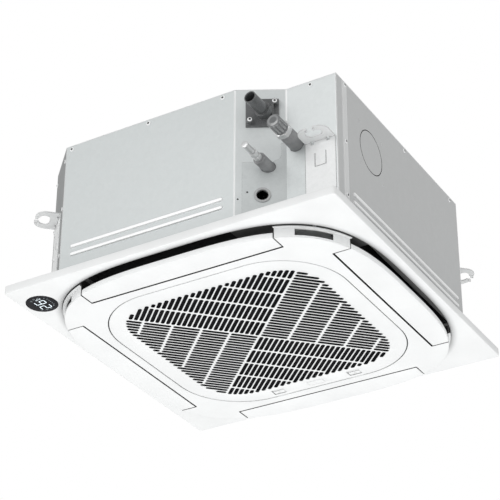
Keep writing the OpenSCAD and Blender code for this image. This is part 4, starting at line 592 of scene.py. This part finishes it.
def vanePins(s):
    # The short rods that stand out of both ends of the barrel.
    x, z = disc(s["barrelX"], discZ + s["barrelZ"], s["pinR"], 20).T
    return merge(stack([np.column_stack([x, np.full(len(x), y), z]) for y in ends])
                 for ends in ((s["pinEnds"][0], -s["pinFrom"]), (s["pinFrom"], s["pinEnds"][1])))


blade, bladeShade = vaneMesh(vaneSet)
pins = vanePins(vaneSet)
vanePoints, vaneFaces = merge([blade, pins])
vaneShade = np.concatenate([bladeShade, np.ones(len(pins[0]))])
for turnBy, side in ((0, "right"), (90, "back"), (180, "left"), (-90, "front")):
    addPiece("vane" + side.capitalize(), (turned(vanePoints, turnBy), vaneFaces), "white",
             "vane_" + side[0], ("vane_" + side,), shade=vaneShade)
print("vanes done")


# Panel frame: inner flange, soft slope at the opening, flat border, rounded outer edge and rim.
ringSet = {"half": 475.0, "corner": 8.0, "wall": 3.0, "slopeWide": 20.0, "slopeHigh": 4.5,
           "slopeShade": 0.45, "slopeFade": 1.3, "outerRoll": 2.4, "rimRoll": 0.9, "flangeTop": -216.0,
           "around": 288, "cornerSpan": 1.4, "cornerSteps": 29}


def squareOutline(half, corner, angles):
    # Rays from the centre to a square with rounded corners: to the flat side, or to the corner's arc where
    # both coordinates pass the middle of that arc.
    way = np.stack([np.cos(angles), np.sin(angles)], axis=1)
    f, c = np.abs(way), half - corner
    flat = half / f.max(axis=1)
    b = 2 * c * f.sum(axis=1)
    bent = (b + np.sqrt(np.maximum(0.0, b * b - 4 * (2 * c * c - corner * corner)))) / 2
    return way * np.where((f * flat[:, None]).min(axis=1) > c, bent, flat)[:, None]


def ringAngles(s):
    # Even steps, with finer ones across the corners of the square.
    even = np.arange(s["around"]) * 360 / s["around"]
    fine = [k * 90 + 45 + np.linspace(-s["cornerSpan"], s["cornerSpan"], s["cornerSteps"]) for k in range(4)]
    return np.radians(np.unique(np.round(np.concatenate([even, *fine]), 4)))


def panelFrameMesh(s):
    # Rows of the section, each an outline moved along its normals by a distance and set to a height.
    ang = ringAngles(s)
    inner, outer = superOutline(ringHalf, ang, discPower), squareOutline(s["half"], s["corner"], ang)
    ni, no = outwardNormals(inner), outwardNormals(outer)
    # The border slopes softly up into the outlet: a quarter ellipse, and the same under the sheet.
    w, h, t, q, e = s["slopeWide"], s["slopeHigh"], s["wall"], s["outerRoll"], s["rimRoll"]
    slope = np.array([1, 0]) + arc(0, 0, 1, 180, 270, 13) * np.array([1, -1])
    rows = [(inner, ni, t, s["flangeTop"]), (inner, ni, 0.0, s["flangeTop"])]
    rows += [(inner, ni, w * u, panelZ + h * (1 - v)) for u, v in slope]
    rows += [(outer, no, d, z) for d, z in arc(-q, panelZ + q, q, -90, 0, 7)]
    rows += [(outer, no, d, z) for d, z in arc(-e, ceilingZ - e, e, 0, 90, 4)]
    rows += [(outer, no, -t, ceilingZ), (outer, no, -t, panelZ + t)]
    rows += [(inner, ni, t + (w - t) * u, panelZ + t + h * (1 - v)) for u, v in slope[::-1]]
    # Soft shade on the slope, deepest at the outlet.
    shade = [s["slopeShade"] * (1 - d / w) ** s["slopeFade"] if base is inner and 0 <= d <= w else 0.0
             for base, normals, d, z in rows]
    rings = [atHeight(base + normals * d, z) for base, normals, d, z in rows]
    return torus(rings), np.repeat(shade, len(ang))


frameMesh, frameShade = panelFrameMesh(ringSet)
addPiece("panelFrame", frameMesh, "white", "housing", ("panel_frame",), shade=frameShade)
print("panel frame done")


# Display: black glass disc with a rounded rim, two lit digits, a small sign and faint marks near the rim.
# Places are (right, up) of a reader, from the middle of the glass.
displaySet = {"x": -420.0, "y": -385.0, "r": 42.0, "proud": 0.8, "back": 2.0, "rim": 0.7, "around": 96,
              "digit": 29.0, "stroke": 1.9, "segmentGap": 0.35, "lit": 0.3, "sunk": 0.02,
              "digits": (("abged", -16.5), ("acdefg", 7.5)),
              "sign": {"at": (25.5, -7.0), "size": (5.0, 9.0), "stroke": 1.1},
              "degree": {"at": (22.0, 1.5), "r": 1.4, "line": 0.8},
              "faint": 0.15,
              "rings": {"angles": (35, 10, -15, 145, 170, 195), "far": 29.5, "r": 2.2, "line": 0.6},
              "dots": {"angles": (-45, -60, 225, 240), "far": 30.5, "r": 1.3},
              "bars": {"step": 7.0, "half": 2.0, "up": -27.0, "stroke": 1.2}}


def displayGlass(s):
    # Rings from rows of (radius, height), closed by a fan of triangles to the middle of each side.
    r, front, back, q = s["r"], -s["proud"], s["back"], s["rim"]
    rim = [(r - q + q * math.cos(a), front + q - q * math.sin(a)) for a in np.radians([90, 70, 45, 20])]
    rows = [(r * 0.6, front), *rim, (r, front + q), (r, back)]
    points, faces = pointed([atHeight(disc(0, 0, k, s["around"]), z) for k, z in rows],
                            (0, 0, front), (0, 0, back))
    return points + np.array([s["x"], s["y"], panelZ]), faces


def strokeBar(a, b, width, z0, z1):
    # Raised bar with pointed ends from a to b.
    a, b = np.array(a, dtype=float), np.array(b, dtype=float)
    d = (b - a) / np.linalg.norm(b - a)
    n, h = np.array([-d[1], d[0]]), width / 2
    loop = np.array([a, a + (d - n) * h, b - (d + n) * h, b, b + (n - d) * h, a + (d + n) * h])
    return stack([atHeight(loop, z) for z in (z0, z1)])


def segmentBars(which, at, size, width, gap, z0, z1):
    # Strokes of a figure, named a to g clockwise from the top with g in the middle.
    x1, y2 = size[0] / 2, size[1] / 2
    x0, y0, y1 = -x1, -y2, 0.0
    ends = {"a": ((x0, y2), (x1, y2)), "b": ((x1, y2), (x1, y1)), "c": ((x1, y1), (x1, y0)),
            "d": ((x0, y0), (x1, y0)), "e": ((x0, y1), (x0, y0)), "f": ((x0, y2), (x0, y1)),
            "g": ((x0, y1), (x1, y1))}
    parts = []
    for k in which:
        a, b = (np.array(q) + at for q in ends[k])
        short = gap * (b - a) / np.linalg.norm(b - a)
        parts.append(strokeBar(a + short, b - short, width, z0, z1))
    return parts


def ringPart(p, q, r, line, z0, z1):
    # Raised ring round (p, q).
    return torus([atHeight(disc(p, q, k, 24), z)
                  for k, z in ((r, z0), (r + line, z0), (r + line, z1), (r, z1))])


def dotPart(p, q, r, z0, z1):
    return stack([atHeight(disc(p, q, r, 14), z) for z in (z0, z1)])


def displayMarks(s):
    z0, z1 = -s["proud"] - s["lit"], -s["proud"] + s["sunk"]
    sign, degree = s["sign"], s["degree"]
    parts = []
    for which, shift in s["digits"]:
        parts += segmentBars(which, (shift, 0.0), (s["digit"] / 2, s["digit"]), s["stroke"],
                             s["segmentGap"], z0, z1)
    parts += segmentBars("adef", sign["at"], sign["size"], sign["stroke"], s["segmentGap"], z0, z1)
    return merge(parts + [ringPart(*degree["at"], degree["r"], degree["line"], z0, z1)])


def displayDots(s):
    # Faint marks near the rim: small rings, dots and short bars.
    z0, z1 = -s["proud"] - s["faint"], -s["proud"] + s["sunk"]
    rings, dots, bars = s["rings"], s["dots"], s["bars"]
    parts = [ringPart(*turned([[rings["far"], 0]], a)[0], rings["r"], rings["line"], z0, z1)
             for a in rings["angles"]]
    parts += [dotPart(*turned([[dots["far"], 0]], a)[0], dots["r"], z0, z1) for a in dots["angles"]]
    for k in (-1, 0, 1):
        x0, x1 = k * bars["step"] - bars["half"], k * bars["step"] + bars["half"]
        parts.append(strokeBar((x0, bars["up"]), (x1, bars["up"]), bars["stroke"], z0, z1))
    return merge(parts)


def onDisplay(mesh, s):
    # A reader's right is minus Y and a reader's up is minus X.
    right, up, z = mesh[0].T
    return np.column_stack([s["x"] - up, s["y"] - right, panelZ + z]), mesh[1]


addPiece("displayGlass", displayGlass(displaySet), "glass", "housing", ("display_lens",))
addPiece("displayDigits", onDisplay(displayMarks(displaySet), displaySet), "digitLight", "housing",
         ("display_digits",))
addPiece("displayDots", onDisplay(displayDots(displaySet), displaySet), "dotLight", "housing", ())
print("display done")


# Sheet screws: flanged dome with a cross recess, one height field on a polar grid each.
screwSet = {"radii": (0.35, 0.6, 0.9, 1.4, 2.0, 2.6, 2.9, 3.4, 3.8, 4.1, 4.7, 5.8, 6.0), "h": 3.4,
            "flange": 1.1, "dome": 4.1, "cross": 2.7, "slit": 0.55, "deep": 1.4, "fade": 4.0,
            "around": 32, "shank": 1.8, "long": 7.0, "tip": 8.0, "darkRows": 7}


def screwShape(s):
    # Drawn with the head towards minus Y and the shank along plus Y. Height of the head: flange + (h -
    # flange) * sqrt(1 - (radius / dome)^2), less deep * (1 - radius / fade) inside the cross.
    a = circle(s["around"])
    r = np.array([*s["radii"], s["radii"][-1], s["shank"], s["shank"]])[:, None]
    x, z = r * np.cos(a), r * np.sin(a)
    head = s["flange"] + (s["h"] - s["flange"]) * np.sqrt(np.maximum(0.0, 1 - (r / s["dome"]) ** 2))
    inCross = (np.minimum(np.abs(x), np.abs(z)) < s["slit"]) & (r < s["cross"])
    y = np.where(inCross, s["deep"] * (1 - r / s["fade"]), 0.0) - head
    y[-3:] = [[0.0], [0.0], [s["long"]]]
    return pointed(np.stack([x, y, z], axis=-1), (0, s["deep"] - s["h"], 0), (0, s["tip"], 0))


# Screws stand in rows: turn of the wall about Z, distance out from the middle, places along, heights.
top = (176.0,)
fourAlong = (310, 100, -100, -310)
screwRows = [(0.0, 435.0, (-317, -77, 146), top),
             (0.0, 373.0, (363.5,), top),
             (90.0, 435.0, (9, 290), top),
             (90.0, 436.0, (-331.0,), (176.0, 6.0, -149.0)),
             (180.0, 435.0, fourAlong, top),
             (-90.0, 435.0, fourAlong, top)]
for turnBy in (-45.0, 135.0, 225.0):
    # Both edges of a corner plate, then its hanger bracket.
    screwRows += [(turnBy, 544.472, (-60.0, 60.0), (150.0, 3.0, -138.0)),
                  (turnBy, 546.972, (-30.0, 30.0), (-22.0, -100.0, -180.0))]
screwRows.append((0.0, 375.5, (358.5, 418.5), (-180.0,)))
# The drain flange sits on the pipe face, which leaves the front wall at a slant.
flangeSet = {"from": (181.0, -435.0), "way": (113.0, 62.0), "along": 69.0, "out": 16.0, "z": 114.0,
             "apart": (31.0, 28.0)}


def screwPlaces(rows, s):
    # Point and turn of every screw; the flange has two, in opposite corners.
    places = [(*turned([[along, -out, z]], turnBy)[0], turnBy)
              for turnBy, out, alongs, heights in rows for along in alongs for z in heights]
    way = np.array(s["way"]) / math.hypot(*s["way"])
    side = np.array([way[1], -way[0]])
    for k in (-1, 1):
        flat = np.array(s["from"]) + (s["along"] + k * s["apart"][0]) * way + s["out"] * side
        places.append((*flat, s["z"] + k * s["apart"][1], math.degrees(math.atan2(way[1], way[0]))))
    return places


def placed(points, degrees, at, spin):
    # Spun about the screw's axis, turned about Z, then moved.
    a = math.radians(spin)
    m = np.array([[math.cos(a), 0, math.sin(a)], [0, 1, 0], [-math.sin(a), 0, math.cos(a)]])
    return turned(points @ m.T, degrees) + np.array(at)


def allScrews(s):
    # The recess and the middle of each head carry the dark shade.
    points, faces = screwShape(s)
    mark = np.zeros(len(points))
    mark[:1 + s["darkRows"] * s["around"]] = 1.0
    parts = [(placed(points, turnBy, (x, y, z), rng.uniform(0, 90)), faces)
             for x, y, z, turnBy in screwPlaces(screwRows, flangeSet)]
    return merge(parts), np.tile(mark, len(parts))


screwMesh, screwShade = allScrews(screwSet)
addPiece("sheetScrews", screwMesh, "screw", "housing", ("casing_screws",), sharp=40.0,
         shade=screwShade)
print("screws done")


# Latches: thumb plate with a softened edge, a tongue that runs under the frame, and an arrow mark.
grilleTop = discZ + 3.0
latchSet = {"half": 16.4, "back": 306.6, "front": 320.6, "corner": 1.4, "sunk": 0.7, "over": 0.45,
            "edge": ((-0.5, 0.0), (-0.15, 0.15), (0.0, 0.5)),
            "tongueBack": 303.2, "tongueShort": 0.2, "tongueWide": 37.6, "tongueCorner": 0.8,
            "tongueUp": (0.4, 2.7), "tongueSoft": 0.2,
            "mark": ((-3.6, 2.52), (3.6, 2.52), (0.0, -3.24)), "line": 0.9, "markUp": (-0.06, 0.1),
            "markShade": 0.5}


def roundBlock(x, y, w, h, r, rows):
    # Solid of rounded rectangles, from rows of (growth, height).
    return stack([atHeight(roundRectLoop(x, y, w, h, r, d), z) for d, z in rows])


def latchMesh(s, node):
    # The node's box gives the latch's middle and the end of its tongue.
    low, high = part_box(node)
    x, end = 500.0 * (low[0] + high[0]), 1000.0 * high[1] - s["tongueShort"]
    mid, z0 = (s["back"] + s["front"]) / 2, discZ + s["sunk"]
    plate = roundBlock(x, mid, 2 * s["half"], s["front"] - s["back"], s["corner"],
                       [(d, z0 + up) for d, up in s["edge"]] + [(0.0, grilleTop + s["over"])])
    t0, t1 = (grilleTop + up for up in s["tongueUp"])
    q = s["tongueSoft"]
    tongue = roundBlock(x, (s["tongueBack"] + end) / 2, s["tongueWide"], end - s["tongueBack"],
                        s["tongueCorner"], [(-q, t0), (0.0, t0 + q), (0.0, t1 - q), (-q, t1)])
    corners = np.array(s["mark"]) + (x, mid)
    z1, z2 = (z0 + up for up in s["markUp"])
    marks = [strokeBar(a, b, s["line"], z1, z2) for a, b in zip(corners, np.roll(corners, -1, axis=0))]
    shade = [np.zeros(len(plate[0]) + len(tongue[0])), np.full(sum(len(q[0]) for q in marks), s["markShade"])]
    return merge([plate, tongue, *marks]), np.concatenate(shade)


for side in ("left", "right"):
    latch, latchShade = latchMesh(latchSet, "latch_" + side)
    addPiece("latch" + side.capitalize(), latch, "white", "latch_" + side[0], ("latch_" + side,),
             shade=latchShade)
print("latches done")


# Intake grille: one plate with rounded slots; its face is a constrained triangulation of the loops.
# Windows are (x, y, width, depth) of the openings for the latches and the blank cover.
grilleSet = {"half": 333.5, "corner": 184.5, "cornerSteps": 33, "edge": 1.0, "backEdge": 0.4,
             "field": 286.0, "fieldCorner": 124.0, "slot": 10.2, "pitch": 14.0, "rows": 30, "band": 77.0,
             "bands": 8, "bar": 5.6, "least": 1.3, "soft": 0.2, "web": 0.6, "under": 1.0,
             "windows": ((-117, 310, 35.2, 24), (117, 310, 35.2, 24), (0, 310, 46.6, 19.6)),
             "windowCorner": 1.6}


def fieldLimit(p, s):
    # Distance from one diagonal to the field outline, at distance p from the other diagonal.
    r = s["fieldCorner"]
    c, e = (s["field"] - r) * math.sqrt(2), r / math.sqrt(2)
    if p < e:
        return c + math.sqrt(r * r - p * p)
    if p < c + e:
        return s["field"] * math.sqrt(2) - p
    if p < c + r:
        return math.sqrt(r * r - (p - c) ** 2)
    return 0.0


def slotList(s):
    # Slots of one quarter as (distance from the diagonal, start, end), band after band. A slot goes on to
    # the field's outline where the next band has no room for one.
    slots, least = [], s["least"] * s["slot"]
    for p in s["bar"] / 2 + s["slot"] / 2 + s["pitch"] * np.arange(s["rows"]):
        end = fieldLimit(p + s["slot"] / 2, s)
        for k in range(s["bands"]):
            a, b = k * s["band"] + s["bar"] / 2, (k + 1) * s["band"] - s["bar"] / 2
            tip = b if end > b and end - b - s["bar"] > least else end
            if tip - a > least and (k == 0 or end - a > least):
                slots.append((p, a, min(tip, end)))
    return slots


def slotLoop(p, a, b, w, d):
    # Stadium outline grown by d.
    return np.vstack([arc(p, b - w / 2, w / 2 + d, 0, 180, 8), arc(p, a + w / 2, w / 2 + d, 180, 360, 8)])


def grilleMesh(s):
    # Walls first, each a grid through rows of (growth, height): the plate's edge, the slots, the windows.
    q, e, z1, side = s["soft"], s["edge"], grilleTop, 2 * s["half"]
    edgeRows = [(e - e * math.sin(t), discZ + e - e * math.cos(t)) for t in np.radians([0, 25, 50, 70])]
    edgeRows += [(0.0, z1 - s["backEdge"]), (s["backEdge"], z1)]
    slotRows = [*arc(q, discZ + q, q, 270, 180, 4), (s["under"], discZ + s["web"])]
    walls = [[atHeight(roundRectLoop(0, 0, side, side, s["corner"], -d, s["cornerSteps"]), z)
              for d, z in edgeRows]]
    walls += [[atHeight(turned(slotLoop(p, a, b, s["slot"], d), turnBy), z) for d, z in slotRows]
              for turnBy in (45, 135, 225, 315) for p, a, b in slotList(s)]
    walls += [[atHeight(roundRectLoop(x, y, w, h, s["windowCorner"], d), z) for d, z in slotRows]
              for x, y, w, h in s["windows"]]
    faces, first, last, edges, n, start = [], [], [], [], 0, 0
    for wall in walls:
        m = len(wall[0])
        ring = np.arange(m)
        faces += gridFaces(len(wall), m, closeCols=True, base=n)
        first.append(n + ring)
        last.append(n + (len(wall) - 1) * m + ring)
        edges += (start + np.column_stack([ring, np.roll(ring, -1)])).tolist()
        n, start = n + len(wall) * m, start + m
    owner = np.repeat(np.arange(len(walls)), [len(ring) for ring in first])
    points = np.vstack([ring for wall in walls for ring in wall])
    first, last = np.concatenate(first), np.concatenate(last)
    # Both faces have the same triangles. A slot is convex, so a triangle of one slot's points is inside it.
    made = delaunay_2d_cdt([Vector(xy) for xy in points[first, :2].tolist()], edges, [], 1, 1e-5)
    corners = np.array([origin[0] for origin in made[3]])[np.array(made[2])]
    own = owner[corners]
    corners = corners[(own[:, 0] == 0) | (own != own[:, :1]).any(axis=1)]
    return points, faces + first[corners[:, ::-1]].tolist() + last[corners].tolist()


# Fittings on the back of the grille: hinge knuckles, and the rails that guide the two latches. Rails are
# (near side, far side, height of the middle, height, corner).
fittingSet = {"hingeX": (-112, 112), "knuckles": ((-9.6, -3.3), (3.3, 9.6)), "knuckleY": -329.5,
              "knuckleR": 2.9, "knuckleArc": (-20, 200), "latchX": (-117, 117), "railY": 310.0,
              "railLong": 24.0, "rails": ((19.3, 21.8, 2.4, 5.2, 0.8), (17.3, 20.3, 4.1, 1.8, 0.5)),
              "soft": 0.3}


def extrudeX(loop, x0, x1, soft):
    # Prism along X with softened ends, from a (y, z) outline.
    ends = ((x0, soft), (x0 + soft, 0.0), (x1 - soft, 0.0), (x1, soft))
    return stack([np.column_stack([np.full(len(loop), x), drawnIn(loop, k)]) for x, k in ends])


def grilleFittings(s):
    knuckle = arc(s["knuckleY"], grilleTop, s["knuckleR"], *s["knuckleArc"], 15)
    parts = [extrudeX(knuckle, x + a, x + b, s["soft"]) for x in s["hingeX"] for a, b in s["knuckles"]]
    for x in s["latchX"]:
        for k in (-1, 1):
            for near, far, up, high, corner in s["rails"]:
                loop = roundRectLoop(s["railY"], grilleTop + up, s["railLong"], high, corner, 0.0, 4)
                parts.append(extrudeX(loop, *sorted((x + k * near, x + k * far)), s["soft"]))
    return merge(parts)


addPiece("intakeGrille", merge([grilleMesh(grilleSet), grilleFittings(fittingSet)]), "white", "grille",
         ("intake_grille",))
print("grille done")


# Pipe ends: rings round an axis along Y at (x, z), each part from one y to another.
gasSet = {"at": (323.0, 11.0), "sleeve": (-437.0, -368.5), "sleeveR": 20.0, "bore": 9.6, "phase": 0.4,
          "nut": (-452.0, -437.0), "flats": 42.0, "cap": (-493.0, -452.0)}
liquidSet = {"at": (253.775, -45.0), "sleeve": (-441.069, -359.069), "sleeveR": 16.0, "bore": 4.9,
             "phase": 1.3, "union": (-473.069, -441.069), "nutLong": 12.5, "flats": 20.0,
             "neck": ((12.0, 8.6), (16.0, 9.0)), "cap": (-511.069, -473.069)}
foamSet = {"around": 64, "waves": ((3, 0.12, 1), (7, 0.1, 2)), "seam": (4.1, 0.05, 0.7),
           "ends": ((0.0, 1.6), (0.5, 0.6)), "plain": 1.6, "along": 9, "swell": (0.1, 0.21)}
nutSet = {"around": 72, "proud": 0.15, "steps": (0.6, 1.5)}
# Rows of a cap: end it is measured from, distance, inset from the outer radius, depth of the flutes.
flutedSet = {"around": 144, "r": 18.5, "flutes": 12,
             "rows": ((0, 0.0, 12.025, 0.0), (0, 0.0, 7.03, 0.0), (0, 0.4, 6.29, 0.0), (0, 0.4, 3.33, 0.0),
                      (0, 0.9, 2.2, 0.0), (0, 2.0, 0.7, 0.0), (0, 3.6, 0.0, 0.0), (0, 4.6, 0.0, 0.9),
                      (0, 6.0, 0.0, 1.4), (1, 7.0, 0.0, 1.4), (1, 5.6, 0.0, 0.7), (1, 4.8, 0.0, 0.0),
                      (1, 0.6, 0.0, 0.0), (1, 0.0, 0.6, 0.0))}
smoothSet = {"around": 64, "r": 9.4, "flutes": 0,
             "rows": ((0, 0.0, 5.64, 0.0), (0, 0.1, 3.76, 0.0), (0, 0.5, 0.9, 0.0), (0, 1.3, 0.2, 0.0),
                      (0, 2.6, 0.0, 0.0), (0, 3.0, 0.4, 0.0), (0, 3.4, 1.0, 0.0), (1, 6.0, 1.0, 0.0),
                      (1, 5.5, 1.6, 0.0), (1, 5.0, 1.0, 0.0), (1, 0.5, 1.0, 0.0), (1, 0.0, 1.5, 0.0))}


def ringsAlongY(rows, at, a):
    # Rows of (y, radius); a radius is one number or one for each angle.
    x, z = at
    return [np.column_stack([x + r * np.cos(a), np.full(len(a), y), z + r * np.sin(a)]) for y, r in rows]


def foamSleeve(f, s):
    # Closed-cell tube with a slightly uneven outside and a glued seam line: radius + low waves round the
    # tube - depth * exp(-((angle - seam) / width)^2), with a swell along its length.
    a, phase, bore, (y0, y1) = circle(f["around"]), s["phase"], s["bore"], s["sleeve"]
    at, wide, deep = f["seam"]
    skin = s["sleeveR"] - deep * np.exp(-(np.mod(a - at, 2 * math.pi) / wide) ** 2)
    for count, size, times in f["waves"]:
        skin = skin + size * np.sin(count * a + times * phase)
    size, step = f["swell"]
    rows = [(y0, bore)] + [(y0 + u, skin - inset) for u, inset in f["ends"]]
    rows += [(y, skin + size * math.sin(y * step + phase))
             for y in np.linspace(y0 + f["plain"], y1 - f["plain"], f["along"])]
    rows += [(y1 - u, skin - inset) for u, inset in f["ends"][::-1]] + [(y1, bore)]
    return torus(ringsAlongY(rows, s["at"], a))


def hexNut(f, s, y0, y1):
    # Six flats with both ends turned down to a cone: radius = flats / 2 / cos(angle from the middle of the
    # flat), at most the cone's.
    a, flats = circle(f["around"]), s["flats"]
    hexagon = flats / 2 / np.cos(np.mod(a, math.pi / 3) - math.pi / 6)
    low, corner = flats / 2 + f["proud"], flats / 2 / math.cos(math.pi / 6)
    half = [(0.0, s["bore"]), (0.0, low), (f["steps"][0], np.minimum(hexagon, (low + corner) / 2)),
            (f["steps"][1], np.minimum(hexagon, corner))]
    rows = [(y0 + u, r) for u, r in half] + [(y1 - u, r) for u, r in half[::-1]]
    return torus(ringsAlongY(rows, s["at"], a))


def pipeCap(f, s):
    # Radius less the inset and less depth * (1.6 cos(flutes * angle) - 0.35), kept between 0 and 1.
    a, (y0, y1) = circle(f["around"]), s["cap"]
    flute = np.clip(np.cos(f["flutes"] * a) * 1.6 - 0.35, 0, 1)
    rows = [(y1 - u if end else y0 + u, f["r"] - inset - depth * flute) for end, u, inset, depth in f["rows"]]
    return stack(ringsAlongY(rows, s["at"], a))


def liquidUnion(f, s):
    # Two nuts and the neck between them.
    (y0, y1), long, (flare, neck) = s["union"], s["nutLong"], s["neck"]
    rows = [(y0 + flare[0], s["bore"]), (y0 + flare[0], flare[1]), (y0 + neck[0], neck[1]),
            (y1 - flare[0], flare[1]), (y1 - flare[0], s["bore"])]
    return merge([hexNut(f, s, y1 - long, y1), hexNut(f, s, y0, y0 + long),
                  torus(ringsAlongY(rows, s["at"], circle(48)))])


for name, mesh, look, node, slot in (
        ("gasSleeve", foamSleeve(foamSet, gasSet), "pipeFoam", "gas_sleeve", "pipe_foam"),
        ("liquidSleeve", foamSleeve(foamSet, liquidSet), "pipeFoam", "liquid_sleeve", "pipe_foam"),
        ("gasNut", hexNut(nutSet, gasSet, *gasSet["nut"]), "nutMetal", "gas_nut_ring", "nut_metal"),
        ("gasCap", pipeCap(flutedSet, gasSet), "capPlastic", "gas_cap", "dark_plastic"),
        ("liquidUnion", liquidUnion(nutSet, liquidSet), "nutMetal", "liquid_union", "nut_metal"),
        ("liquidCap", pipeCap(smoothSet, liquidSet), "nutMetal", "liquid_cap", "nut_metal")):
    addPiece(name, mesh, look, "housing", (node,))
print("pipe ends done")


# Which CAD nodes have each look.
nodeLooks = {
    "zincFront": "front_panel",
    "zinc": "top_plate control_box control_cover coil_end_plates",
    "zincBack": "back_panel",
    "zincLeft": "left_panel",
    "zincSide": "right_panel",
    "zincPipe": "pipe_corner_panel",
    "zincCover": "pipe_cover_plate",
    "zincCorner": "corner_plates",
    "hanger": "hanger_brackets",
    "screw": "casing_screws panel_screws hinge_pins motor_studs motor_shaft fan_nut",
    "whiteFrame": "centre_frame",
    "white": "panel_frame vane_front vane_right vane_back vane_left intake_grille grille_cover "
             "latch_left latch_right display_housing",
    "glass": "display_lens",
    "digitLight": "display_digits",
    "copper": "gas_pipe liquid_pipe coil_bends",
    "fins": "coil_fins",
    "rubber": "motor_mounts panel_seal",
    "grommet": "cable_grommet",
    "pipeFoam": "gas_sleeve liquid_sleeve",
    "lining": "foam_liner",
    "panFoam": "drain_pan outlet_foam",
    "midPlastic": "drain_socket",
    "capPlastic": "gas_cap",
    "darkPlastic": "bell_mouth terminal_block",
    "filterMesh": "air_filter",
    "nutMetal": "gas_nut_ring liquid_union liquid_cap",
    "natural": "drain_hose drain_pump float_switch float_body fan_impeller vane_motors",
    "blue": "pump_wheel",
    "motorPaint": "motor_body",
    "board": "control_board",
}
for look, names in nodeLooks.items():
    for name in names.split():
        slots = nodes[name].data.materials
        slots.clear()
        slots.append(mats[look])
print("node materials done")
